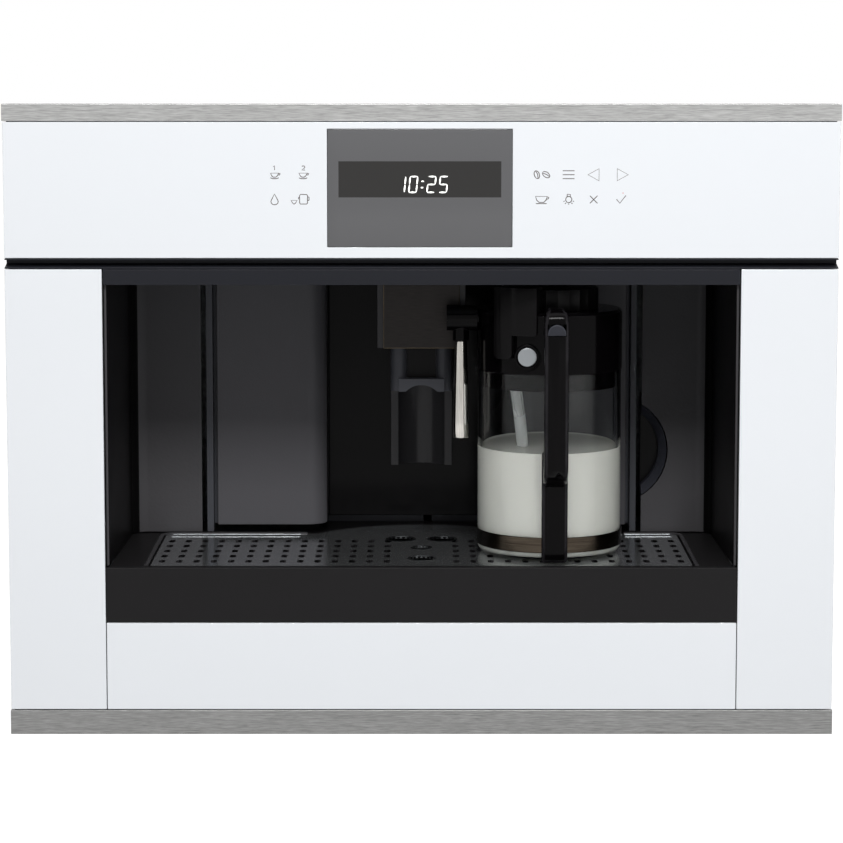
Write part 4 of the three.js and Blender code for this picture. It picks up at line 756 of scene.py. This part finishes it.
symbolSet = {"line": 0.30, "proud": 0.04}
smallCup = [("closed", [(-2.9, 1.4), (2.9, 1.4), (1.9, -0.6), (0.9, -1.4), (-0.9, -1.4), (-1.9, -0.6)]),
            ("open", [(2.8, 1.2), (4.0, 1.1), (3.6, 0.2), (2.3, 0.1)]),
            ("open", [(-2.9, -1.9), (-1.4, -2.5), (1.4, -2.5), (2.9, -1.9)])]
symbols = [  # centre, then strokes in millimetres round it
    ((-104.2, 404.6), smallCup),
    ((-84.0, 404.6), smallCup),
    ((-104.2, 409.7), [("open", [(-0.9, 0.8), (0, 1.5), (0, -1.5)])]),
    ((-83.7, 409.7), [("open", [(-1, 0.9), (-0.6, 1.4), (0.4, 1.4), (1, 0.8), (0.8, 0.1),
                                (-1.1, -1.5), (1.1, -1.5)])]),
    ((-104.3, 387.4), [("closed", [(0, 3.8), (-1.7, 0.6), (-2.6, -1.3), (-2.3, -2.7), (-1.2, -3.6),
                                   (0, -3.8), (1.2, -3.6), (2.3, -2.7), (2.6, -1.3), (1.7, 0.6)])]),
    ((-83.7, 387.5), [
        ("closed", [(-2.2, 3.4), (2.2, 3.4), (2.8, 2.6), (2.8, -2.6), (2.2, -3.4), (-2.2, -3.4),
                    (-2.8, -2.6), (-2.8, 2.6)]),
        ("open", [(2.8, 1.8), (3.9, 1.4), (3.9, -0.6), (2.8, -1.0)]),
        ("open", [(-2.8, 1.8), (-3.6, 1.0), (-3.6, 0)]),
        ("closed", [(-8.8, -0.8), (-4.6, -0.8), (-5.6, -2.6), (-6.7, -3.5), (-7.8, -2.6)])]),
    ((81.8, 404.9), [("closed", oval(0, 0, 2.9, 1.8, 110)),
                     ("open", [(-0.8, 2.4), (0.5, 0.4), (0.9, -2.4)])]),
    ((88.4, 404.9), [("closed", oval(0, 0, 2.9, 1.8, -35)),
                     ("open", [(-2.1, 1.0), (0.2, 0.2), (2.2, -1.2)])]),
    ((104.3, 404.9), [("open", [(-4.2, 2.8), (4.2, 2.8)]), ("open", [(-4.2, 0), (4.2, 0)]),
                      ("open", [(-4.2, -2.8), (4.2, -2.8)])]),
    ((122.0, 404.9), [("closed", [(3.9, 4.3), (-3.9, 0), (3.9, -4.3)])]),
    ((142.7, 404.9), [("closed", [(-3.9, 4.3), (3.9, 0), (-3.9, -4.3)])]),
    ((85.2, 387.3), [("closed", [(-4.3, 2.2), (4.0, 2.2), (3.2, -0.4), (1.6, -2.0), (-1.8, -2.0),
                                 (-3.5, -0.4)]),
                     ("open", [(3.8, 1.8), (5.2, 1.6), (4.9, 0.6), (3.5, 0.2)]),
                     ("open", [(-4.0, -2.9), (3.6, -2.9)])]),
    ((104.5, 387.3), [("closed", oval(0, 0, 2.2, 2.2)),
                      ("open", [(-1.1, 1.9), (-1.1, 3.7), (1.1, 3.7), (1.1, 1.9)]),
                      ("open", [(-3.7, -1.4), (-2.9, -1.0)]), ("open", [(-2.6, -3.0), (-1.9, -2.3)]),
                      ("open", [(0, -3.6), (0, -2.7)]), ("open", [(2.6, -3.0), (1.9, -2.3)]),
                      ("open", [(3.7, -1.4), (2.9, -1.0)])]),
    ((122.2, 387.3), [("open", [(-2.7, 2.7), (2.7, -2.7)]), ("open", [(-2.7, -2.7), (2.7, 2.7)])]),
    ((141.6, 387.3), [("open", [(-3.2, 0.2), (-0.8, -2.6), (3.4, 2.8)])]),
]


def touchSymbols():
    lines = [([(x + a, z + b, 0) for a, b in points], "POLY", kind == "closed")
             for (x, z), strokes in symbols for kind, points in strokes]
    bm = tubesAlong("touchSymbols", lines, symbolSet["line"], 1)
    onGlass(bm, 0, 0, (mm, mm, mm * symbolSet["proud"] / symbolSet["line"]))
    finishPiece("touchSymbols", bm, "touchPrint", "machine")


displayPanel()
displayDigits()
touchSymbols()
print("display ready")

gridSet = {"rings": [(-15.75, 122, 10), (15.75, 122, 10), (0, 39, 9), (0, 84, 6.5)],  # x, depth, radius
           "slotCorner": 2.1, "rimWide": 1.6, "rimHigh": 0.5, "rimDeep": 1.4, "steps": 48, "upward": 0.5}
lipSet = {"crown": 0.45, "inner": 0.6, "inside": 0.15}


def pressedLip(halfWide, halfLong, rim, high, deep, steps):
    # a lip round a hole: in from the plate, up over a crown and down into the hole
    bm, rings = bmesh.new(), []
    for out, lift in ((rim, 0.0), (rim * lipSet["crown"], high), (0.0, high * lipSet["inner"]),
                      (-lipSet["inside"], -deep)):
        made = bmesh.ops.create_circle(bm, cap_ends=False, segments=steps, radius=1)["verts"]
        radius = halfWide + out
        for vert in made:
            vert.co = (vert.co.x * radius, vert.co.y * radius, lift)
        pulledApart(made, 1, halfLong - halfWide)
        rings.append({edge for vert in made for edge in vert.link_edges})
    for outer, inner in zip(rings, rings[1:]):
        bmesh.ops.bridge_loops(bm, edges=list(outer | inner))
    bmesh.ops.recalc_face_normals(bm, faces=bm.faces)
    bmesh.ops.scale(bm, vec=(mm, mm, mm), verts=bm.verts)
    return bm


def dripGrid():
    d = gridSet
    plate = copyOfNode("drip_grid")
    bmesh.ops.recalc_face_normals(plate, faces=plate.faces)
    corners = [e for e in sharpEdges(plate, 50)
               if math.hypot(*(e.verts[0].co - e.verts[1].co).xy) < tiny]
    roundEdges(plate, corners, d["slotCorner"] * mm, 3, clamp=False)
    for face in plate.faces:  # the punched walls and the underside are painted near black, as shade, darker than the face
        face.material_index = int(face.normal.z < d["upward"])
    finishPiece("dripGrid", plate, "gridSteel", "tray", ["drip_grid"], ["blackSatin"], smooth=20)
    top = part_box("drip_grid")[1].z
    rims = bmesh.new()
    for x, y, radius in d["rings"]:
        ring = pressedLip(radius, radius, d["rimWide"], d["rimHigh"], d["rimDeep"], d["steps"])
        addShape(rims, ring, [Matrix.Translation((x * mm, depth(y), top))])
    finishPiece("gridRims", rims, "rimSteel", "tray")


dripGrid()
print("drip grid ready")

jugLow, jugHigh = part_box("jug_glass")
jugCentre = ((jugLow.x + jugHigh.x) / 2, (jugLow.y + jugHigh.y) / 2)
jugBase, jugTop = jugLow.z / mm, jugHigh.z / mm
jugSet = {"radius": 53.0, "wall": 2.5, "corner": 7.0, "floor": 3.4, "steps": 128, "rim": 0.8,
          "hollow": 0.6, "hollowEdge": 14, "foot": 11}  # the hollow under the foot
milkSet = {"level": 201.0, "soak": 0.12,
           "climb": ((0, 0.9), (0.5, 0.405), (1.4, 0.1), (3, 0))}  # in from the glass, above the level
bandSet = {"thick": 0.8, "corner": (0.25, 0.3)}
hoseSet = {"radius": 4.3, "roundness": 6, "points": [
    (-27.0, -2.0, 262.0), (-25.6, -3.4, 248.0), (-22.6, -6.0, 226.0), (-19.4, -9.2, 200.0),
    (-18.6, -10.0, 170.0), (-18.6, -10.0, 133.0)]}
tubeSet = {"bore": 2.4, "boreLift": 0.2, "mouth": ((5.4, 0), (6.1, 0.25), (6.45, 0.9)), "end": 4.1,
           "taper": 2.05, "curve": 1.15, "ends": 1.6, "stops": (0.15, 0.3, 0.45, 0.6, 0.75, 0.9, 1.0),
           "steps": 64}


def jugGlass():
    d = jugSet
    inner, corner = d["radius"] - d["wall"], d["corner"] - d["wall"]
    floor, rim = jugBase + d["floor"], d["rim"]
    profile = [(0, jugBase + d["hollow"]), (d["radius"] - d["hollowEdge"], jugBase + d["hollow"]),
               (d["radius"] - d["foot"], jugBase)]
    profile += arcPoints(d["radius"] - d["corner"], jugBase + d["corner"], d["corner"], -90, 0, 10)
    profile += arcPoints(d["radius"] - rim, jugTop - rim, rim, 0, 90, 4)
    profile += arcPoints(inner + rim, jugTop - rim, rim, 90, 180, 4)
    profile += arcPoints(inner - corner, floor + corner, corner, 0, -90, 8)
    profile += [(0, floor)]
    bm = bmesh.new()
    turnedShape(bm, profile, jugCentre, d["steps"], closed=False)
    finishPiece("jugGlass", bm, "jugGlass", "jug", ["jug_glass"])


def milkFill():
    # the milk reaches a little into the glass, so that no air shows between them
    d = milkSet
    inner, corner = jugSet["radius"] - jugSet["wall"] + d["soak"], jugSet["corner"] - jugSet["wall"]
    floor = jugBase + jugSet["floor"] - d["soak"]
    profile = [(0, floor)] + arcPoints(inner - corner, floor + corner, corner, -90, 0, 8)
    profile += [(inner - a, d["level"] + b) for a, b in d["climb"]] + [(0, d["level"])]
    bm = bmesh.new()
    turnedShape(bm, profile, jugCentre, jugSet["steps"], closed=False)
    finishPiece("milkFill", bm, "milk", "jug")


def jugBand():
    low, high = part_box("jug_band")
    outer, bottom, top = (high.x - low.x) / 2 / mm, low.z / mm, high.z / mm
    inner, (a, b) = outer - bandSet["thick"], bandSet["corner"]
    bm = bmesh.new()
    turnedShape(bm, [(inner, bottom), (outer - a, bottom), (outer, bottom + b), (outer, top - b),
                     (outer - a, top), (inner, top)], jugCentre, jugSet["steps"])
    finishPiece("jugBand", bm, "bandSteel", "jug", ["jug_band"])


def intakeHose():
    # a soft tube that leans from the lid down into the milk
    points = [(jugCentre[0] + x * mm, jugCentre[1] + y * mm, z * mm) for x, y, z in hoseSet["points"]]
    bm = tubesAlong("intakeHose", [(points, "NURBS", False)], hoseSet["radius"] * mm, hoseSet["roundness"])
    bmesh.ops.remove_doubles(bm, verts=bm.verts, dist=tiny)
    bmesh.ops.recalc_face_normals(bm, faces=bm.faces)
    finishPiece("intakeHose", bm, "milkyTube", "jug", ["milk_intake_tube"])


def milkTube():
    d = tubeSet
    low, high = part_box("milk_spout_tube")
    bottom, top = low.z / mm, high.z / mm
    wide, start = d["mouth"][-1]
    profile = [(d["bore"], bottom + d["boreLift"])] + [(r, bottom + z) for r, z in d["mouth"]]
    profile += [(wide - d["taper"] * t ** d["curve"], bottom + start + (top - bottom - d["ends"]) * t)
                for t in d["stops"]]
    profile += [(d["end"], top), (d["bore"], top)]
    bm = bmesh.new()
    turnedShape(bm, profile, ((low.x + high.x) / 2, (low.y + high.y) / 2), d["steps"])
    finishPiece("milkTube", bm, "chrome", "milk_outlet", ["milk_spout_tube"])


jugGlass()
milkFill()
jugBand()
intakeHose()
milkTube()
print("milk jug ready")

handleSet = {
    "centre": 96.2, "front": -11.5, "gripWide": 17.4, "gripThick": 10.0, "gripTop": 309.0,
    "gripBottom": 196.0, "slope": 17.0, "crown": 9.0, "arm": 22.0, "armBack": 17.0, "edge": 2.9,
    "shoulders": ((301.1, 0.96), (304.6, 0.87), (307.1, 0.74), (308.3, 0.66)),  # above, share of the width
    "ridge": 0.5, "ridgeAt": 1.2, "nearFront": 0.1, "elbow": (4, 6), "chin": (6, 2, 9), "chinBack": 1,
    "stemWide": 18.8, "stemFront": 8.7, "stemBack": 17.1, "stemTop": 205.0, "stemBottom": 123.2,
    "stemFoot": (3, 4), "stemEdge": 2.6,
}
keySet = {"wide": 13.0, "high": 8.0, "bottom": 291.0, "thick": 6.0, "side": 1.5, "edge": 0.8, "gap": 0.3,
          "pocketDeep": 8.2, "nearFront": 0.4}


def sideProfile(bm, points, wide):
    # a closed outline of (depth, height) points, drawn out to its width across the front
    left = handleSet["centre"] - wide / 2
    drawnOut(bm, [(left * mm, depth(d), z * mm) for d, z in points], (wide * mm, 0, 0))


def gripOutline():
    d = handleSet
    front, back = d["front"], d["front"] + d["gripThick"]
    top, low, arm = d["gripTop"], d["gripBottom"], d["gripTop"] - d["arm"]
    (bendBack, bendUp), (chinIn, chinTop, chinLow) = d["elbow"], d["chin"]
    points = [(d["stemBack"], low), (back + bendBack, low), (back, low + bendUp), (back, arm - bendBack),
              (back + bendBack, arm), (d["armBack"], arm), (d["armBack"], top)]
    points += arcPoints(front + d["crown"], top - d["crown"], d["crown"], 90, 180, 6)
    return points + [(front, low - chinTop), (front + chinIn, low - chinLow),
                     (d["stemFront"] + d["chinBack"], low - d["slope"]), (d["stemBack"], low - d["slope"])]


def jugHandle():
    d, key = handleSet, keySet
    bm = bmesh.new()
    sideProfile(bm, gripOutline(), d["gripWide"])
    sides = [e for e in sharpEdges(bm, 40) if abs(e.verts[0].co.x - e.verts[1].co.x) < tiny]
    roundEdges(bm, sides, d["edge"] * mm, 4)
    centre = d["centre"] * mm
    for vert in bm.verts:
        shares = [share for height, share in d["shoulders"] if vert.co.z > height * mm]
        if shares:
            vert.co.x = centre + (vert.co.x - centre) * shares[-1]
    half = key["wide"] / 2 + key["gap"]
    left, right = (d["centre"] - half) * mm, (d["centre"] + half) * mm
    base, roof = (key["bottom"] - key["gap"]) * mm, (key["bottom"] + key["high"] + key["gap"]) * mm
    crest, front = centre + d["ridgeAt"] * mm, depth(d["front"])
    cutAlong(bm, [((left, 0, 0), (1, 0, 0)), ((right, 0, 0), (1, 0, 0)), ((0, 0, base), (0, 0, 1)),
                  ((0, 0, roof), (0, 0, 1)), ((crest, 0, 0), (1, 0, 0))])
    for vert in bm.verts:  # a slight ridge down the front of the grip, below the key
        x, y, z = vert.co
        if abs(x - crest) < tiny and y < front + d["nearFront"] * mm and z < base + tiny:
            vert.co.y -= d["ridge"] * mm
    pocket = []
    for face in bm.faces:
        x, y, z = face.calc_center_median()
        if left < x < right and base < z < roof and y < front + key["nearFront"] * mm:
            pocket.append(face)
    extruded(bm, pocket, (0, key["pocketDeep"] * mm, 0))
    bmesh.ops.delete(bm, geom=pocket, context="FACES_KEEP_BOUNDARY")
    stem = bmesh.new()
    near, far, low, top = d["stemFront"], d["stemBack"], d["stemBottom"], d["stemTop"]
    footDeep, footHigh = d["stemFoot"]
    sideProfile(stem, [(near, low + footHigh), (near + footDeep, low), (far, low), (far, top), (near, top)],
                d["stemWide"])
    roundEdges(stem, sharpEdges(stem, 40), d["stemEdge"] * mm, 4)
    addShape(bm, stem, [Matrix()])
    bmesh.ops.recalc_face_normals(bm, faces=bm.faces)
    finishPiece("jugHandle", bm, "blackGloss", "jug", ["jug_handle"], smooth=40)


def releaseKey():
    # a half-round key, flush in the grip
    d, centre = keySet, handleSet["centre"]
    half, base, side = d["wide"] / 2, d["bottom"], d["side"]
    outline = [(-half, base), (half, base)]
    outline += [(half * a, base + side + (d["high"] - side) * b) for a, b in arcPoints(0, 0, 1, 0, 180, 12)]
    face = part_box("lid_release_key")[0].y
    bm = bmesh.new()
    drawnOut(bm, [((centre + x) * mm, face, z * mm) for x, z in outline], (0, d["thick"] * mm, 0))
    rim = [e for e in sharpEdges(bm, 50) if max(v.co.y for v in e.verts) < face + tiny]
    roundEdges(bm, rim, d["edge"] * mm, 3)
    finishPiece("lidReleaseKey", bm, "pullSlate", "release_key", ["lid_release_key"], smooth=40)


selectorSet = {"tongueCorner": 4.6, "corner": 2.4, "edge": 0.55, "foot": 16,
               "level": 0.2, "deeper": 3, "shorter": 5}


def frothSelector():
    # the lever's and the tongue's corners are rounded before their edges
    d = selectorSet
    bm = copyOfNode("froth_selector")

    def across(edge, height):
        one, two = (v.co for v in edge.verts)
        flat = abs(one.z - height) < d["level"] * mm and abs(two.z - height) < d["level"] * mm
        near, far = (math.hypot(c.x - jugCentre[0], c.y - jugCentre[1]) for c in (one, two))
        return flat and abs(near - far) > d["deeper"] * mm and (one - two).length < d["shorter"] * mm

    tongue = [e for e in bm.edges if across(e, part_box("froth_selector")[0].z)]
    bottoms = [e for e in bm.edges if across(e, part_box("jug_lid")[1].z - d["foot"] * mm)]
    roundEdges(bm, tongue, d["tongueCorner"] * mm, 5)
    roundEdges(bm, bottoms, d["corner"] * mm, 3)
    roundEdges(bm, sharpEdges(bm, 40), d["edge"] * mm)
    finishPiece("frothSelector", bm, "blackSatin", "selector", ["froth_selector"])


ringSet = {"inner": 7.5, "outer": 9.3, "front": 18.3, "back": 26.0, "round": 0.6, "cut": 0.3, "steps": 48}


def buttonRing():
    # the collar round the silver button, standing out of the lid
    d = ringSet
    low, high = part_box("clean_button")
    inner, outer, front, corner = d["inner"], d["outer"], d["front"], d["round"]
    cut = corner * d["cut"]
    profile = [(inner, d["back"]), (inner, front + corner), (inner + cut, front + cut),
               (inner + corner, front), (outer - corner, front), (outer - cut, front + cut),
               (outer, front + corner), (outer, d["back"])]
    bm = bmesh.new()
    turnedAcross(bm, profile, (low.x + high.x) / 2 / mm, (low.z + high.z) / 2 / mm, d["steps"])
    finishPiece("buttonRing", bm, "blackGloss", "jug")


jugHandle()
releaseKey()
frothSelector()
buttonRing()
print("handle, lid and lever ready")

pullSet = {"centre": (148.0, 186.6), "chord": 169.4, "steps": 96,
           "section": [(40.7, 150.2), (35.6, 154.0), (34.8, 155.2), (34.8, 163.2), (40.7, 163.2)]}
traySet = {"side": 199.2, "front": 9.0, "straight": 60.0, "back": 146.6, "corner": 12.0, "inner": 88.0,
           "wide": 3.4, "high": 1.3, "sunk": 0.1}
flangeSet = {"left": (-191.0, -93.0), "right": (156.0, 191.0), "rows": (131.0, 143.0), "end": 4,
             "wide": 0.34, "high": 0.32}
barSet = {"steps": 6, "fullness": 0.6}
lightSet = {"place": (143.0, 391.9), "radius": 0.34, "proud": 0.08, "steps": 16}


def pullRim():
    # the slanted lip of the half-moon finger pull
    bm = bmesh.new()
    turnedAcross(bm, pullSet["section"], *pullSet["centre"], pullSet["steps"])
    cutAlong(bm, [((pullSet["chord"] * mm, 0, 0), (1, 0, 0))], clear_inner=True)
    closeHoles(bm)
    finishPiece("pullRim", bm, "pullSlate", bodyOf["liner_right"])


def roundedBar(bm, path, wide, high, base):
    # a bar with a rounded top along a path of (x, depth) points that lies flat
    count, rings = barSet["steps"], []
    for i, (x, y) in enumerate(path):
        ax, ay = path[max(i - 1, 0)]
        bx, by = path[min(i + 1, len(path) - 1)]
        run = math.hypot(bx - ax, by - ay)
        sideX, sideY = (by - ay) / run, -(bx - ax) / run
        ring = []
        for k in range(count + 1):
            t = math.pi * k / count
            out, lift = wide / 2 * math.cos(t), high * math.sin(t) ** barSet["fullness"]
            ring.append(bm.verts.new(((x + sideX * out) * mm, depth(y + sideY * out), (base + lift) * mm)))
        rings.append([bm.edges.new(pair) for pair in zip(ring, ring[1:] + ring[:1])])
    for one, two in zip(rings, rings[1:]):
        bmesh.ops.bridge_loops(bm, edges=one + two)
    closeHoles(bm)


def trayEdge():
    # the bead beside the grid, and the grid's own turned-up rear edge
    d, f = traySet, flangeSet
    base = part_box("drip_tray")[1].z / mm - d["sunk"]
    bend = arcPoints(d["side"] - d["corner"], d["back"] - d["corner"], d["corner"], 0, 90, 6)
    for side, name, inner in ((-1, "trayBeadLeft", d["inner"]), (1, "trayBeadRight", f["right"][0])):
        path = [(d["side"], d["front"]), (d["side"], d["straight"]), *bend, (inner, d["back"])]
        bm = bmesh.new()
        roundedBar(bm, [(side * x, y) for x, y in path], d["wide"], d["high"], base)
        finishPiece(name, bm, "columnGloss", "tray")
    bm = bmesh.new()
    for x0, x1 in (f["left"], f["right"]):
        for y in f["rows"]:
            path = [(x, y) for x in (x0, x0 + f["end"], x1 - f["end"], x1)]
            roundedBar(bm, path, f["wide"], f["high"], base)
    finishPiece("gridFlange", bm, "rimSteel", "tray")


def readyLight():
    d = lightSet
    bm = bmesh.new()
    bmesh.ops.create_circle(bm, cap_ends=True, segments=d["steps"], radius=d["radius"] * mm)
    extruded(bm, bm.faces[:], (0, 0, d["proud"] * mm))
    onGlass(bm, *d["place"])
    bmesh.ops.recalc_face_normals(bm, faces=bm.faces)
    finishPiece("readyLight", bm, "readyLight", "machine")


pullRim()
trayEdge()
readyLight()
print("pull, tray edge and light ready")

ventSet = {"wide": 4.0, "pitch": 9.0, "perRow": 12, "lip": 0.5, "lipWide": 1.1, "lipDeep": 0.1, "dark": 0.1,
           "steps": 16, "sunk": 0.02,
           "rear": ((-236, 330, 372), (-236, 280, 322), (60, 60, 92)),  # first slot, bottom, top
           "sides": ((232, 340, 382), (232, 290, 332), (232, 60, 92))}
screwSet = {"profile": ((0, -0.4), (2.9, -0.4), (2.9, 0.385), (2.494, 0.88), (1.74, 1.1), (1.25, 1.078),
                        (1.125, 0.385), (0, 0.385)), "steps": 14, "sheet": 1.2,
            "sideDepths": (40, 130, 220, 310, 370), "sideHeights": (30, 428),
            "roofAcross": (-250, -150, 150, 250), "roofDepths": (34, 372)}


def addVents(bm, rows, turn, where):
    # pressed slots: a raised lip round each opening, and a dark disc in the opening as painted shade
    d = ventSet
    radius = d["wide"] / 2
    for first, bottom, top in rows:
        middle, half = (bottom + top) / 2, (top - bottom) / 2
        places = [Matrix.Translation(where(first + radius + i * d["pitch"], middle)) @ turn
                  for i in range(d["perRow"])]
        addShape(bm, pressedLip(radius, half, d["lipWide"], d["lip"], d["lipDeep"], d["steps"]), places)
        # painted shade: a dark disc in each slot stands for the shade inside it
        dark = bmesh.new()
        made = bmesh.ops.create_circle(dark, cap_ends=True, segments=d["steps"], radius=radius)["verts"]
        pulledApart(made, 1, half - radius)
        bmesh.ops.translate(dark, vec=(0, 0, d["dark"]), verts=made)
        bmesh.ops.scale(dark, vec=(mm, mm, mm), verts=made)
        addShape(bm, dark, places, 1)


def rearCover():
    # the sheet lies back by the height of the lips, so that they end where the CAD's face is
    bm, vents = copyOfNode("housing_rear"), bmesh.new()
    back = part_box("housing_rear")[1].y
    for vert in bm.verts:
        if vert.co.y > back - tiny:
            vert.co.y -= ventSet["lip"] * mm
    level = back - (ventSet["lip"] + ventSet["sunk"]) * mm
    addVents(vents, ventSet["rear"], Matrix.Rotation(math.radians(-90), 4, "X"),
             lambda x, z: (x * mm, level, z * mm))
    finishPiece("housingRear", bm, "zincSheet", "machine", ["housing_rear"])
    finishPiece("rearVents", vents, "zincSheet", "machine", more=["ventPaintedShade"])
    vents = bmesh.new()
    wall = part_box("housing_top")[1].x
    for side in (-1, 1):
        addVents(vents, ventSet["sides"], Matrix(((0, 0, side), (side, 0, 0), (0, 1, 0))).to_4x4(),
                 lambda y, z: (side * wall, depth(y), z * mm))
    finishPiece("sideVents", vents, "zincSheet", "machine", more=["ventPaintedShade"])


def screwHeads():
    # pan heads along the seams of the housing, on its sides and its top
    d = screwSet
    one, heads, places = bmesh.new(), bmesh.new(), []
    turnedShape(one, d["profile"], (0, 0), d["steps"], closed=False)
    low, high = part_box("housing_top")
    roof = low.z + d["sheet"] * mm
    for side in (-1, 1):
        turn = Matrix.Rotation(math.radians(90 * side), 4, "Y")
        places += [Matrix.Translation((side * high.x, depth(y), z * mm)) @ turn
                   for y in d["sideDepths"] for z in d["sideHeights"]]
    places += [Matrix.Translation((x * mm, depth(y), roof)) for x in d["roofAcross"] for y in d["roofDepths"]]
    addShape(heads, one, places)
    bmesh.ops.recalc_face_normals(heads, faces=heads.faces)
    finishPiece("screwHeads", heads, "machinedSteel", "machine")


rearCover()
screwHeads()
print("rear cover and screws ready")
